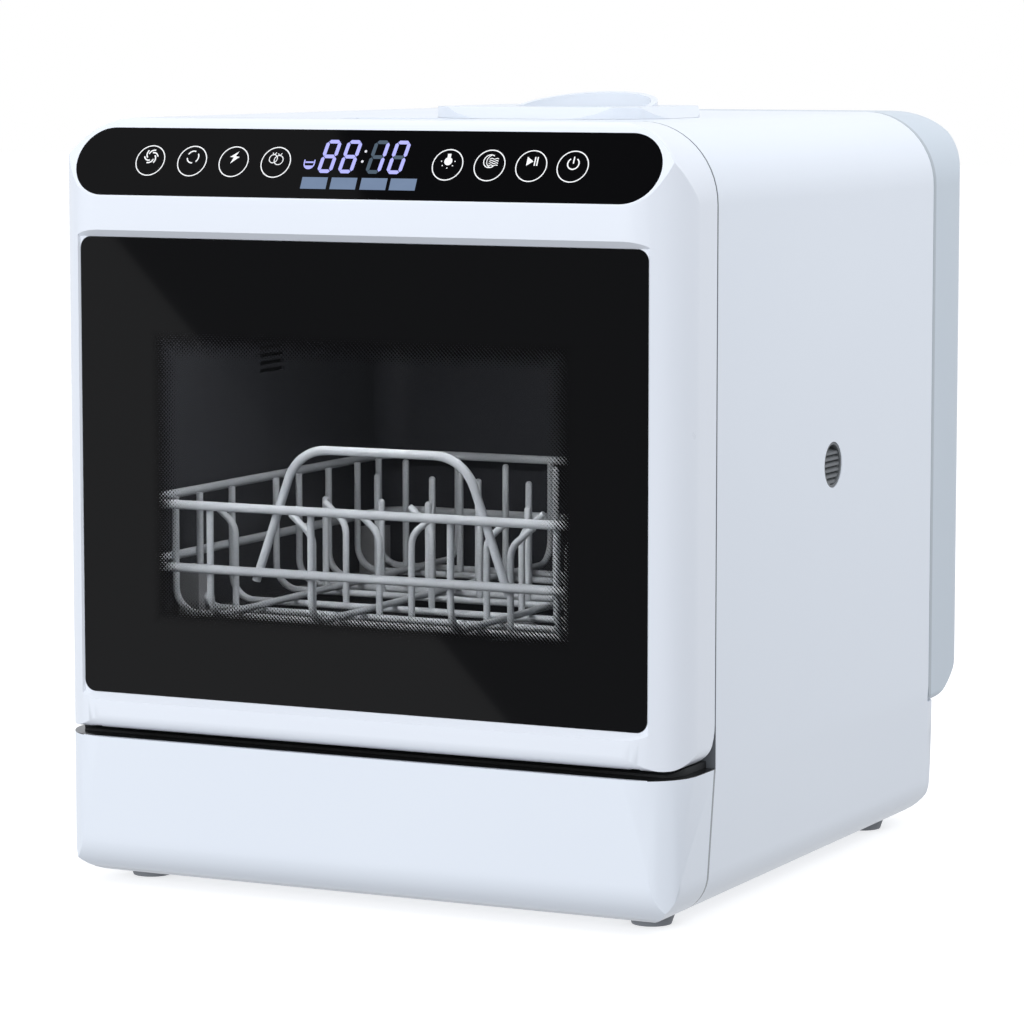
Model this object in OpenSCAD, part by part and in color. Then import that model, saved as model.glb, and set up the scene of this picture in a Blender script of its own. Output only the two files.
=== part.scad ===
// Countertop dishwasher with a drop-down glass door, a wire rack, two spray arms and a built-in water tank.
// X runs across the front, -Y points out of the door, Z is up; the origin is under the middle of the body.

/* [Case] */
// Overall width of the case
case_w = 420; // [400:1:460]
// Height of the case top above the table
case_h = 474; // [474:1:520]
// Length of the case between the door seam and the rear cover
case_d = 357; // [340:1:420]
// Wall thickness of the white mouldings
wall = 2.6; // [2.2:0.1:3.2]
// Radius of the two upper long edges
top_r = 48; // [44:1:54]
// Radius along the bottom edges of the base
base_r = 26; // [20:1:32]
// Lean of each base wall between the apron and the bottom edge
base_taper = 4; // [2:0.5:6]
// Height of the apron's top edge above the table
apron_h = 94.5; // [90:0.5:98]
// How far the base reaches behind the rear cover's seam
base_step = 21; // [15:1:30]
// Width of the finger scoop behind the door
scoop_w = 84; // [60:1:100]

/* [Rear cover] */
// Depth of the rear cover
cover_d = 64; // [55:1:90]
// Height of the rear cover's lower edge above the table
cover_z = 84; // [80:1:90]
// Radius of the cover's rear vertical edges
cover_r = 18; // [12:1:24]
// Radius of the cover's lower rear edge
cover_low_r = 58; // [48:1:61]
// Radius of the cover's lower side edges
cover_side_r = 5; // [4:0.5:9]

/* [Door] */
// Depth of the door body
door_d = 59; // [58:0.5:66]
// Open slot between the apron and the door
slot_gap = 5; // [4.5:0.1:7]
// Seam between the door's rim and the case
seam_gap = 1.2; // [1:0.1:1.6]
// Radius of the door's front vertical edges
door_edge_r = 34; // [30:1:36]
// Radius of the door's lower front edge
door_lip_r = 9; // [7:0.5:10]
// Radius of the door's lower rear edge
heel_r = 22; // [20:0.5:23]
// Height of the tilted control face and the crown over it
panel_drop = 48; // [44:1:52]
// Backward tilt of the control face, in degrees
panel_tilt = 26.6; // [24:0.2:29]
// Bare face left at each end of the control strip
strip_side = 14.5; // [12:0.5:20]
// Height of the control strip, measured along its face
strip_h = 45; // [38:1:46]
// White frame beside the outer glass
glass_side = 20; // [18:0.5:26]
// White frame below the outer glass
glass_low = 22.5; // [21:0.5:28]
// White frame between the outer glass and the control face
glass_up = 24; // [18:1:32]
// Thickness of the outer glass
glass_t = 4; // [3:0.5:4]
// How far the outer glass lies behind the door's front
glass_sink = 5; // [4:0.5:5]
// Width of the bevel round the outer glass
bezel_w = 4.5; // [3:0.5:5]
// Dark border beside the clear window
window_side = 49; // [40:1:60]
// Dark border below the clear window
window_low = 45; // [38:1:56]
// Dark border above the clear window
window_up = 56; // [40:1:70]
// Distance of the hinge axis behind the door's front
hinge_back = 14; // [13:0.5:15]
// Height of the hinge axis above the door's lower edge
hinge_up = 12; // [11:0.5:13]
// Distance of each hinge from the side of the case
hinge_in = 28; // [26:1:30]
// Radius of the hinge pin
pin_r = 3; // [2.5:0.1:3.4]

/* [Tub] */
// Space between the case side and the tub's inside
tub_side = 27; // [26:0.5:30]
// Rise of the tub floor above the apron's top edge
tub_rise = 23.5; // [21.5:0.5:25]
// Space between the tub ceiling and the case top
tub_drop = 25; // [25:0.5:32]
// Space between the tub's rear wall and the rear cover's seam
tub_short = 24; // [21:0.5:30]
// Thickness of the tub's walls
tub_t = 2.5; // [2:0.1:3]
// Corner radius of the tub's mouth
tub_r = 24; // [16:1:28]
// Length of each half of a spray arm
arm_len = 148; // [120:1:152]
// Radius of the posts that carry the spray arms
post_r = 8; // [6:0.5:9]
// Radial running clearance of every turning piece
run_gap = 0.06; // [0.03:0.01:0.09]

/* [Rack] */
// Distance of the rack's side rails from the tub walls
rack_side = 12; // [11:0.5:16]
// Distance of the rack's front rail behind the door's front
rack_front = 30; // [29:1:36]
// Distance of the rear rail from the tub's rear wall
rack_rear = 14; // [10:1:20]
// Height of the floor wires above the tub floor
floor_up = 45.6; // [44:0.1:48]
// Height of the middle rail above the floor wires
mid_rail_up = 34.8; // [31:0.1:42]
// Height of the top rail above the floor wires
rail_up = 73.7; // [64:0.1:80]
// Radius of the rail wire
rail_r = 2.8; // [2.2:0.1:3]
// Radius of the thin wire
wire_r = 2.2; // [1.6:0.1:2.4]
// Height of the handle's top bar above the floor wires
handle_up = 110.8; // [98:0.1:126]

/* [Fittings] */
// Height of the feet under the base
foot_h = 6; // [5:0.5:9]
// Radius of a foot
foot_r = 14; // [10:1:15]
// Distance of the feet from the sides of the case
foot_in = 38; // [36:1:50]
// Height of the vent's centre above the table
vent_z = 258; // [240:1:280]
// Radius of the side vent
vent_r = 14.3; // [12:0.1:18]
// Width of the filling platform
fill_w = 153; // [140:1:160]
// Depth of the filling platform
fill_d = 130; // [124:1:140]
// Rise of the platform above the case top
fill_rise = 7; // [5:0.5:9]
// Outer radius of the filling ring
ring_r = 45.5; // [36:0.5:48]
// Radius of the thread on the water inlet
inlet_r = 13.2; // [10:0.1:14]
// Radius of the drain spigot
spigot_r = 9.5; // [8:0.1:12]

/* [Hidden] */
$fn = 48;

// Stations along Y, and the gap left between pieces that touch
depth = door_d + case_d + cover_d;
front = -depth / 2;
seam = front + door_d;
rear = seam + case_d;
back = depth / 2;
base_back = rear + base_step;
seat = 0.1;
pan_top = foot_h + 2 * wall + seat;
half_w = case_w / 2;

// Heights and places that follow from the case, the tub and the rack's floor
door_z0 = apron_h + slot_gap;
panel_z = case_h - panel_drop;
strip_w = case_w - 2 * strip_side;
glass_w = case_w - 2 * glass_side;
glass_z0 = door_z0 + glass_low;
glass_z1 = panel_z - glass_up;
window_w = glass_w - 2 * window_side;
window_z0 = glass_z0 + window_low;
window_z1 = glass_z1 - window_up;
hinge_x = half_w - hinge_in;
tub_w = case_w - 2 * tub_side;
tub_z0 = apron_h + tub_rise;
tub_z1 = case_h - tub_drop;
tub_rear = rear - tub_short;
rack_x = tub_w / 2 - rack_side;
floor_z = tub_z0 + floor_up;
mid_rail_z = floor_z + mid_rail_up;
rail_z = floor_z + rail_up;
handle_z = floor_z + handle_up;
foot_x = half_w - foot_in;
screw_r = 2;
screw_head_r = 4;
screw_head_h = 2.2;

// ---------- shared shapes ----------

// Points along an arc about centre c
function arc(c, r, a0, a1, n = 10) =
  [for (i = [0:n]) let (a = a0 + (a1 - a0) * i / n) [c[0] + r * cos(a), c[1] + r * sin(a)]];

// Outline of a rectangle with rounded corners between two opposite corners
function rounded(lo, hi, r, n = 8) = concat(
  arc([hi[0] - r, hi[1] - r], r, 0, 90, n),
  arc([lo[0] + r, hi[1] - r], r, 90, 180, n),
  arc([lo[0] + r, lo[1] + r], r, 180, 270, n),
  arc([hi[0] - r, lo[1] + r], r, 270, 360, n)
);

// The same outline, centred on X, with half width x
function centred(x, lo, hi, r) = rounded([-x, lo], [x, hi], r);

// A flat shape drawn in X and Z, carried along Y
module along_y(y0, y1) {
  rotate([90, 0, 0]) translate([0, 0, -y1]) linear_extrude(y1 - y0) children();
}

// A flat shape drawn in Y and Z, carried along X
module along_x(x0, x1) {
  rotate([90, 0, 90]) translate([0, 0, x0]) linear_extrude(x1 - x0) children();
}

// A flat shape drawn in X and Y, carried along Z
module along_z(z0, z1) {
  translate([0, 0, z0]) linear_extrude(z1 - z0) children();
}

// A box between its lowest and highest corners
module block(lo, hi) {
  translate(lo) cube(hi - lo);
}

// A round rod from a to b
module rod(a, b, r) {
  run = b - a;
  translate(a)
    rotate([0, atan2(norm([run[0], run[1]]), run[2]), atan2(run[1], run[0])])
      cylinder(h = norm(run), r = r);
}

// A round tube from a to b
module pipe(a, b, r, t) {
  run = b - a;
  ends = run / norm(run);
  difference() {
    rod(a, b, r);
    rod(a - ends, b + ends, r - t);
  }
}

// A bent rod in the XZ plane: radius bend_r about c, from angle a0 through sweep
module bend_xz(c, bend_r, a0, sweep, r) {
  translate(c) rotate([90, 0, 0]) rotate([0, 0, a0])
    rotate_extrude(angle = sweep) translate([bend_r, 0]) circle(r);
}

// The same bend in the YZ plane
module bend_yz(c, bend_r, a0, sweep, r) {
  translate(c) rotate([90, 0, 90]) rotate([0, 0, a0])
    rotate_extrude(angle = sweep) translate([bend_r, 0]) circle(r);
}

// The same bend in the XY plane
module bend_xy(c, bend_r, a0, sweep, r) {
  translate(c) rotate([0, 0, a0])
    rotate_extrude(angle = sweep) translate([bend_r, 0]) circle(r);
}

// Copies on the left and the right of the middle plane
module both_sides(x) {
  for (side = [-1, 1]) translate([side * x, 0, 0]) children();
}

// A pan-head screw at the origin, with its head below and its shank along +Z
module screw(length) {
  translate([0, 0, -screw_head_h]) cylinder(h = screw_head_h, r = screw_head_r);
  cylinder(h = length, r = screw_r);
}

// ---------- case ----------

// Front view of the case, drawn in by inset
function case_front_view(inset) = concat(
  arc([half_w - top_r, case_h - top_r], top_r - inset, 0, 90, 14),
  arc([-half_w + top_r, case_h - top_r], top_r - inset, 90, 180, 14),
  [[-half_w + inset, apron_h]],
  arc([-half_w + base_taper + base_r, foot_h + base_r], base_r - inset, 180, 270),
  arc([half_w - base_taper - base_r, foot_h + base_r], base_r - inset, 270, 360),
  [[half_w - inset, apron_h]]
);

// Side view of the case: apron, step up to the seam, and the low step under the rear cover
function case_side_view(inset, apron_top, rear_end) = concat(
  arc([front + base_taper + base_r, foot_h + base_r], base_r - inset, 180, 270),
  arc([base_back - base_r, foot_h + base_r], base_r - inset, 270, 360),
  [[base_back - inset, cover_z - inset], [rear_end, cover_z - inset], [rear_end, case_h - inset],
     [seam + inset, case_h - inset], [seam + inset, apron_top], [front + inset, apron_top]]
);

// Plan of the case with its rounded front and rear corners
function case_plan(inset) = concat(
  arc([half_w - door_edge_r, front + door_edge_r], door_edge_r - inset, 270, 360),
  arc([half_w - cover_r, base_back - cover_r], cover_r - inset, 0, 90),
  arc([-half_w + cover_r, base_back - cover_r], cover_r - inset, 90, 180),
  arc([-half_w + door_edge_r, front + door_edge_r], door_edge_r - inset, 180, 270)
);

module case_block(inset, apron_top, rear_end) {
  intersection() {
    along_y(front + inset, base_back) polygon(case_front_view(inset));
    along_x(-half_w, half_w) polygon(case_side_view(inset, apron_top, rear_end));
    along_z(0, case_h + 1) polygon(case_plan(inset));
  }
}

hinge_y = front + hinge_back;
hinge_z = door_z0 + hinge_up;
base_flange = 30;
lug_size = 12;
lug_rows = [cover_z + 66, case_h - 74];
mouth_x = tub_w / 2 + 12;
mouth_z0 = tub_z0 - 11;
mouth_z1 = tub_z1 + 10;
floor_top = foot_h + wall;
pan_lap = 10;
pan_x = half_w - base_taper - base_r - base_flange;
pan_y0 = front + base_taper + base_r + base_flange;
pan_y1 = base_back - base_r - base_flange;
foot_y = [front + base_taper + base_r + foot_r + 9, base_back - base_r - foot_r - 2];
scoop_depth = 11;
scoop_run = 28;
arm_t = 4;
arm_slot = 6;
bracket_low = 8;
ring_x = half_w - 136;
ring_y = seam + 106;
fill_x = ring_x - 5.5;
fill_y = ring_y - 10;
vent_y = seam + 183;
service_z = 50;
inlet_x = -half_w + 90;
spigot_x = half_w - 80;
cord_x = 40;
cord_r = 9;

// Feet sit in this pattern under the base
module at_feet() {
  for (side = [-1, 1], y = foot_y) translate([side * foot_x, y, 0]) children();
}

// Rear cover screws go into lugs inside the case's rear rim
module at_rear_lugs() {
  for (side = [-1, 1], z = lug_rows)
    translate([side * (half_w - wall - lug_size / 2), rear, z]) children();
}

bracket_hole_x = 7;
bracket_hole_y = 26;
screw_bite = 1.8;

// Screws of the hinge feet bite into the underside of the apron's top
module at_bracket_screws() {
  for (side = [-1, 1], off = [-1, 1])
    translate([side * hinge_x + off * bracket_hole_x, seam - bracket_hole_y, apron_h - wall]) children();
}

pan_screw_y = [pan_y0 + 30, (pan_y0 + pan_y1) / 2, pan_y1 - 30];

// Base screws go up through the shell's bottom flange into the pan
module at_base_screws() {
  for (side = [-1, 1], y = pan_screw_y) translate([side * (pan_x + pan_lap / 2), y, foot_h]) children();
}

module scoop_solid(grow) {
  translate([-scoop_w / 2 - grow, seam, case_h]) rotate([90, 0, 90])
    linear_extrude(scoop_w + 2 * grow)
      polygon(concat([[-1, 1], [-1, -scoop_depth - grow]],
        arc([scoop_run - scoop_depth, 0], scoop_depth + grow, 270, 360, 8), [[scoop_run + grow, 1]]));
}

module outer_shell() {
  color("white") difference() {
    union() {
      difference() {
        case_block(0, apron_h, rear);
        case_block(wall, apron_h - wall, rear + 1);
      }
      intersection() {
        case_block(wall / 2, apron_h - wall, rear);
        scoop_solid(wall);
      }
      intersection() {
        case_block(wall / 2, apron_h - wall, rear);
        at_rear_lugs() block([-lug_size / 2, -lug_size, -lug_size / 2], [lug_size, 0, lug_size / 2]);
        block([-half_w, 0, 0], [half_w, rear, case_h]);
      }
    }
    scoop_solid(0);
    // tub mouth, hinge slots and lock slot in the front wall
    along_y(seam - 1, seam + wall + 1)
      polygon(centred(mouth_x, mouth_z0, mouth_z1, tub_r + 8));
    both_sides(hinge_x)
      block([-arm_slot / 2, seam - 1, door_z0 - 4], [arm_slot / 2, seam + wall + 1, mouth_z0 - 2.4]);
    translate([lock_x, 0, 0]) block([-8, seam - 1, lock_z - 3], [8, seam + wall + 1, lock_z + 6.4]);
    // bottom opening and the holes for the feet and screws
    along_z(foot_h - 1, floor_top + 1) polygon(centred(pan_x, pan_y0, pan_y1, 10));
    at_feet() cylinder(h = floor_top + 1, r = foot_stem_r + seat);
    at_base_screws() translate([0, 0, -1]) cylinder(h = wall + 2, r = screw_r + seat);
    at_bracket_screws() translate([0, 0, -1]) cylinder(h = screw_bite + 1.1, r = screw_r + 0.02);
    at_rear_lugs() translate([0, 1, 0]) rotate([90, 0, 0]) cylinder(h = lug_size - 2, r = screw_r + 0.02);
    // filling port in the top and vent in the right side
    along_z(case_h - wall - 1, case_h + 1) polygon(rounded(
      [fill_x - fill_w / 2 + fill_lap, fill_y - fill_d / 2 + fill_lap],
      [fill_x + fill_w / 2 - fill_lap, fill_y + fill_d / 2 - fill_lap], fill_corner - fill_lap));
    rod([half_w - wall - 1, vent_y, vent_z], [half_w + 1, vent_y, vent_z], vent_r + seat);
    // services through the low rear wall
    service_hole(inlet_x, inlet_r + 1);
    service_hole(spigot_x, spigot_r + 1);
    service_hole(cord_x, cord_r);
  }
}

module service_hole(x, r) {
  rod([x, base_back - wall - 1, service_z], [x, base_back + 1, service_z], r);
}

rib_h = 6;
rib_t = 2;
pan_rib_pitch = 34;
pan_slot_pitch = 9;

// Floor tray on the shell's bottom flange, with stiffening ribs and intake slots under the fan side
module base_pan() {
  z0 = floor_top + seat;
  color("whitesmoke") difference() {
    union() {
      along_z(z0, z0 + wall)
        polygon(centred(pan_x + pan_lap, pan_y0 - pan_lap, pan_y1 + pan_lap, 12));
      for (x = [-pan_x + 8:pan_rib_pitch:pan_x - 8])
        block([x - rib_t / 2, pan_y0, z0 + wall - seat], [x + rib_t / 2, pan_y1, z0 + wall + rib_h]);
      at_base_screws() translate([0, 0, wall + 2 * seat]) cylinder(h = wall + rib_h, r = screw_head_r);
    }
    at_base_screws() cylinder(h = 3 * wall + rib_h, r = screw_r + 0.02);
    for (k = [0:9])
      block([-pan_x + 20 + k * pan_slot_pitch, pan_y1 - 60, z0 - 1],
        [-pan_x + 23 + k * pan_slot_pitch, pan_y1 - 20, z0 + wall + rib_h + 1]);
  }
}

foot_stem_r = 5;

// Rubber feet: a tapered puck, a stem through the base and a snap collar above it
module rubber_feet() {
  color("dimgray") at_feet() {
    cylinder(h = foot_h - seat, r1 = foot_r - 2, r2 = foot_r);
    cylinder(h = floor_top + seat, r = foot_stem_r);
    translate([0, 0, floor_top + seat]) cylinder(h = 3, r1 = foot_stem_r + 1.5, r2 = foot_stem_r - 1);
  }
}

// Screws of the base pan and of the hinge feet
module case_screws() {
  color("silver") at_base_screws() translate([0, 0, -seat]) screw(wall * 2 + rib_h);
  color("silver") at_bracket_screws() translate([0, 0, -3 - 2 * seat]) screw(3 + seat + screw_bite);
}

// ---------- rear cover ----------

function cover_front_view(inset) = concat(
  arc([half_w - top_r, case_h - top_r], top_r - inset, 0, 90, 14),
  arc([-half_w + top_r, case_h - top_r], top_r - inset, 90, 180, 14),
  arc([-half_w + cover_side_r, cover_z + seat + cover_side_r], cover_side_r - inset, 180, 270),
  arc([half_w - cover_side_r, cover_z + seat + cover_side_r], cover_side_r - inset, 270, 360)
);

function cover_side_view(inset) = concat(
  [[rear - 1, case_h - inset]],
  [[rear - 1, cover_z + seat + inset]],
  arc([back - cover_low_r, cover_z + seat + cover_low_r], cover_low_r - inset, 270, 360, 14),
  arc([back - cover_r, case_h - cover_r], cover_r - inset, 0, 90)
);

module cover_block(inset, start) {
  intersection() {
    along_y(start, back - inset) polygon(cover_front_view(inset));
    along_x(-half_w, half_w) polygon(cover_side_view(inset));
    along_z(0, case_h + 1) polygon(concat(
      arc([half_w - cover_r, back - cover_r], cover_r - inset, 0, 90),
      arc([-half_w + cover_r, back - cover_r], cover_r - inset, 90, 180),
      [[-half_w + inset, rear - 1], [half_w - inset, rear - 1]]));
  }
}

well_r = 5.6;
well_floor = 3;
rear_seam = 0.5;

module rear_cover() {
  color("white") difference() {
    union() {
      difference() {
        cover_block(0, rear + rear_seam);
        cover_block(wall, rear);
      }
      intersection() {
        cover_block(wall / 2, rear + seat);
        at_rear_lugs() rotate([-90, 0, 0]) cylinder(h = cover_d, r = well_r);
      }
    }
    at_rear_lugs() translate([0, well_floor, 0]) rotate([-90, 0, 0]) cylinder(h = cover_d, r = well_r - 1.4);
    at_rear_lugs() rotate([-90, 0, 0]) cylinder(h = cover_d, r = screw_r + seat);
  }
}

module rear_cover_screws() {
  color("silver") at_rear_lugs()
    translate([0, well_floor + seat, 0]) rotate([90, 0, 0]) screw(well_floor + 8);
}

// ---------- filling port and tank ----------

sump_x = tub_w / 2 - 99;
sump_r = 44;
fill_corner = 50;
fill_lap = 9;
bowl_r = 19;
bowl_z = case_h - 8;
ring_t = 4;
ring_slant = 10.4;
duct_half = 30;
duct_top = bowl_z - seat;
duct_h = 11.5;
duct_t = 1.6;
tank_x = half_w - 26;
tank_y0 = tub_rear + tub_t + 26;
tank_y1 = back - wall - 3;
tank_z0 = 128;
tank_h = 250;
tank_t = 2;
neck_y = (tank_y0 + tank_y1) / 2;

// Raised platform with sloping sides; its ring rises to the rear and leads into a funnel
module fill_collar() {
  top_z = case_h + fill_rise;
  x0 = fill_x - fill_w / 2;
  x1 = fill_x + fill_w / 2;
  y0 = fill_y - fill_d / 2;
  y1 = fill_y + fill_d / 2;
  lap = fill_lap + seat;
  color("white") difference() {
    union() {
      intersection() {
        along_z(case_h + seat, top_z) polygon(rounded([x0, y0], [x1, y1], fill_corner));
        along_y(y0, y1) polygon(
          [[x0, case_h], [x1, case_h], [x1 - fill_lap, top_z], [x0 + fill_lap, top_z]]);
        along_x(x0, x1) polygon(
          [[y0, case_h], [y1, case_h], [y1 - fill_lap, top_z], [y0 + fill_lap, top_z]]);
      }
      // skirt that drops into the case, the funnel's outside and the slanted ring
      along_z(case_h - wall - 2, case_h + 1)
        polygon(rounded([x0 + lap, y0 + lap], [x1 - lap, y1 - lap], fill_corner - fill_lap));
      translate([ring_x, ring_y, bowl_z - 1.5]) cylinder(h = case_h - bowl_z, r1 = bowl_r + 6, r2 = ring_r);
      intersection() {
        translate([ring_x, ring_y, case_h + seat]) cylinder(h = 30, r = ring_r);
        along_x(ring_x - ring_r, ring_x + ring_r) polygon([
          [ring_y - ring_r, case_h], [ring_y + ring_r, case_h],
          [ring_y + ring_r, top_z + ring_r * tan(ring_slant)], [ring_y, top_z], [ring_y - ring_r, top_z]]);
      }
    }
    translate([ring_x, ring_y, bowl_z - 2]) cylinder(h = 40, r = bowl_r);
    translate([ring_x, ring_y, bowl_z + 1.5])
      cylinder(h = case_h + 1 - bowl_z, r1 = bowl_r, r2 = ring_r - ring_t);
    translate([ring_x, ring_y, case_h + 2.4]) cylinder(h = 30, r = ring_r - ring_t);
  }
}

// Drilled strainer disc at the bottom of the funnel
module fill_strainer() {
  color("silver") translate([ring_x, ring_y, duct_top - 1.6 + seat]) difference() {
    union() {
      cylinder(h = 1.2, r = bowl_r - seat);
      translate([0, 0, 1.1]) cylinder(h = 5, r = 3);
    }
    for (row = [1:3], k = [0:row * 6 - 1])
      rotate([0, 0, k * 60 / row]) translate([row * 4.9, 0, -1]) cylinder(h = 4, r = 1.4);
  }
}

// Flat duct from the funnel over the tub, then a neck down to the tank
module fill_duct() {
  z1 = duct_top - 1.6;
  z0 = z1 - duct_h;
  y0 = ring_y - duct_half;
  y1 = neck_y + 16;
  inside = duct_half - duct_t;
  color("gainsboro") difference() {
    union() {
      along_z(z0, z1) polygon(rounded([ring_x - duct_half, y0], [ring_x + duct_half, y1], 10));
      block([ring_x - 16, neck_y - 14, tank_z0 + tank_h - 4], [ring_x + 16, neck_y + 14, z0 + 1]);
    }
    along_z(z0 + duct_t, z1 - duct_t)
      polygon(rounded([ring_x - inside, y0 + duct_t], [ring_x + inside, y1 - duct_t], 8.4));
    block([ring_x - 16 + duct_t, neck_y - 14 + duct_t, tank_z0 + tank_h - 5],
      [ring_x + 16 - duct_t, neck_y + 14 - duct_t, z0 + duct_t + 1]);
    translate([ring_x, ring_y, z1 - duct_t - 1]) cylinder(h = duct_t + 2, r = bowl_r - 1);
  }
}

tank_out = [sump_x, tank_y0 + 14];

// Blow-moulded tank with vertical stiffening grooves, behind the tub
module water_tank() {
  color("azure") difference() {
    along_z(tank_z0, tank_z0 + tank_h) polygon(centred(tank_x, tank_y0, tank_y1, 14));
    along_z(tank_z0 + tank_t, tank_z0 + tank_h - tank_t) polygon(
      centred(tank_x - tank_t, tank_y0 + tank_t, tank_y1 - tank_t, 12));
    block([ring_x - 16.3, neck_y - 14.3, tank_z0 + tank_h - tank_t - 1],
      [ring_x + 16.3, neck_y + 14.3, tank_z0 + tank_h + 1]);
    translate([tank_out[0], tank_out[1], tank_z0 - 1]) cylinder(h = tank_t + 2, r = hose_r + seat);
  }
}

hose_r = 7;
hose_t = 1.8;
elbow_r = 14;
hose_z = tub_z0 - tub_t - 6 - hose_r - 6;
line_y = (seam + tub_rear) / 2 - 0.5;

// Hose from the tank's floor down and forward into the sump
module tank_hose() {
  turn_z = hose_z + elbow_r;
  color("dimgray") difference() {
    union() {
      rod([tank_out[0], tank_out[1], turn_z], [tank_out[0], tank_out[1], tank_z0 + tank_t], hose_r);
      bend_yz([tank_out[0], tank_out[1] - elbow_r, turn_z], elbow_r, 270, 90, hose_r);
      rod([tank_out[0], line_y + sump_r - 2, hose_z], [tank_out[0], tank_out[1] - elbow_r, hose_z], hose_r);
    }
    rod([tank_out[0], tank_out[1], turn_z], [tank_out[0], tank_out[1], tank_z0 + tank_t + 1], hose_r - hose_t);
    bend_yz([tank_out[0], tank_out[1] - elbow_r, turn_z], elbow_r, 270, 90, hose_r - hose_t);
    rod([tank_out[0], line_y + sump_r - 3, hose_z], [tank_out[0], tank_out[1] - elbow_r, hose_z], hose_r - hose_t);
  }
}

// ---------- side vent ----------

fin_pitch = 3.6;

// Round plug with horizontal fins, flush with the right side
module vent_grille() {
  plug = 9;
  face = half_w - 0.4;
  color("dimgray") union() {
    pipe([face - plug, vent_y, vent_z], [face, vent_y, vent_z], vent_r, 1.6);
    intersection() {
      rod([face - plug + 1, vent_y, vent_z], [face - 0.8, vent_y, vent_z], vent_r - 1);
      for (k = [-3:3])
        translate([face - plug, vent_y, vent_z + k * fin_pitch]) rotate([0, 25, 0])
          block([-1, -vent_r, -0.7], [plug + 2, vent_r, 0.7]);
    }
  }
}

// Flanged tube that carries moist air from the tub's wall to the vent
module exhaust_duct() {
  wall_x = tub_w / 2 + tub_t + seat;
  end_x = half_w - wall - seat;
  color("gainsboro") difference() {
    union() {
      rod([wall_x, vent_y, vent_z], [end_x, vent_y, vent_z], vent_r + 2.4);
      rod([wall_x, vent_y, vent_z], [wall_x + 3, vent_y, vent_z], vent_r + 9);
    }
    rod([wall_x - 1, vent_y, vent_z], [end_x + 1, vent_y, vent_z], vent_r + 0.3);
  }
}

// ---------- tub ----------

flange_w = 16;
flange_low = 13.5;
flange_t = 2.6;
ledge_z = floor_z - wire_r - 4.2;
ledge_w = 12;
hub_y = line_y;
tub_floor_t = 6;
dish_r = 66;
plate_r = 56;
lamp_pos = [-tub_w / 2 + 71, seam + 80];
lamp_r = 14;

function tub_view(grow, low) = centred(tub_w / 2 + grow, tub_z0 - low, tub_z1 + grow, tub_r + grow);

// Slot through a side wall of the tub
module air_slot(x, y, z, half) {
  block([x - 1, y - half, z - 1.2], [x + tub_t + 1, y + half, z + 1.2]);
}

// Tub: floor dished towards the sump, rounded corners, side ledges for the rack and a mouth flange
module tub() {
  color("darkgray") difference() {
    union() {
      intersection() {
        along_y(seam - flange_t, tub_rear + tub_t) polygon(tub_view(tub_t, tub_floor_t));
        along_z(0, case_h)
          polygon(centred(tub_w / 2 + tub_t, seam - 60, tub_rear + tub_t, tub_r));
      }
      along_y(seam - flange_t - seat, seam - seat) polygon(
        centred(tub_w / 2 + flange_w, tub_z0 - flange_low, tub_z1 + flange_w - 2, tub_r + 10));
    }
    difference() {
      intersection() {
        along_y(seam - flange_t - 1, tub_rear) polygon(tub_view(0, 0));
        along_z(0, case_h) polygon(centred(tub_w / 2, seam - 60, tub_rear, tub_r - tub_t));
      }
      for (side = [-1, 1])
        along_y(seam, tub_rear) polygon([
          [side * (tub_w / 2 + 1), ledge_z - 22], [side * (tub_w / 2 - ledge_w), ledge_z - 3],
          [side * (tub_w / 2 - ledge_w), ledge_z], [side * (tub_w / 2 + 1), ledge_z]]);
    }
    // dished floor, sump hole, plate recess and the arm posts
    translate([sump_x, hub_y, tub_z0 - 3]) cylinder(h = 3.01, r1 = plate_r + 2, r2 = dish_r);
    translate([sump_x, hub_y, tub_z0 - 20]) cylinder(h = 30, r = sump_r - 3);
    translate([0, hub_y, tub_z0 - 20]) cylinder(h = 30, r = post_r + seat);
    translate([0, hub_y, tub_z1 - 1]) cylinder(h = 10, r = post_r + seat);
    // lamp, moist-air outlet and warm-air inlet
    translate([lamp_pos[0], lamp_pos[1], tub_z1 - 1]) cylinder(h = 10, r = lamp_r + seat);
    for (k = [-2:2]) air_slot(tub_w / 2, vent_y, vent_z + k * 5, 11);
    for (k = [-3:3]) air_slot(-tub_w / 2 - tub_t, fan_y, fan_z + k * 5, 16);
  }
}

seal_w = 8;
land_y = seam - 12;
seal_in = 2;

// Rubber seal round the mouth: a channel base with two soft lips facing the door
module door_seal() {
  y0 = land_y + 0.3;
  y1 = seam - flange_t - 2 * seat;
  lo = [-tub_w / 2 - seal_in, tub_z0 - seal_in - 2];
  hi = [tub_w / 2 + seal_in, tub_z1 + seal_in];
  out = [seal_w, seal_w];
  mid = [seal_w / 2 - 1, seal_w / 2 - 1];
  mid_out = [seal_w / 2 + 1, seal_w / 2 + 1];
  color("gray") difference() {
    along_y(y0, y1) polygon(rounded(lo - out, hi + out, tub_r + seal_w));
    along_y(y0 - 1, y1 + 1) polygon(rounded(lo, hi, tub_r));
    difference() {
      along_y(y0 - 1, y0 + 4) polygon(rounded(lo - mid_out, hi + mid_out, tub_r + seal_w / 2 + 1));
      along_y(y0 - 2, y0 + 5) polygon(rounded(lo - mid, hi + mid, tub_r + seal_w / 2 - 1));
    }
  }
}

bracket_foot = 24;
bracket_in = 11;
boss_r = 6.5;

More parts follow.
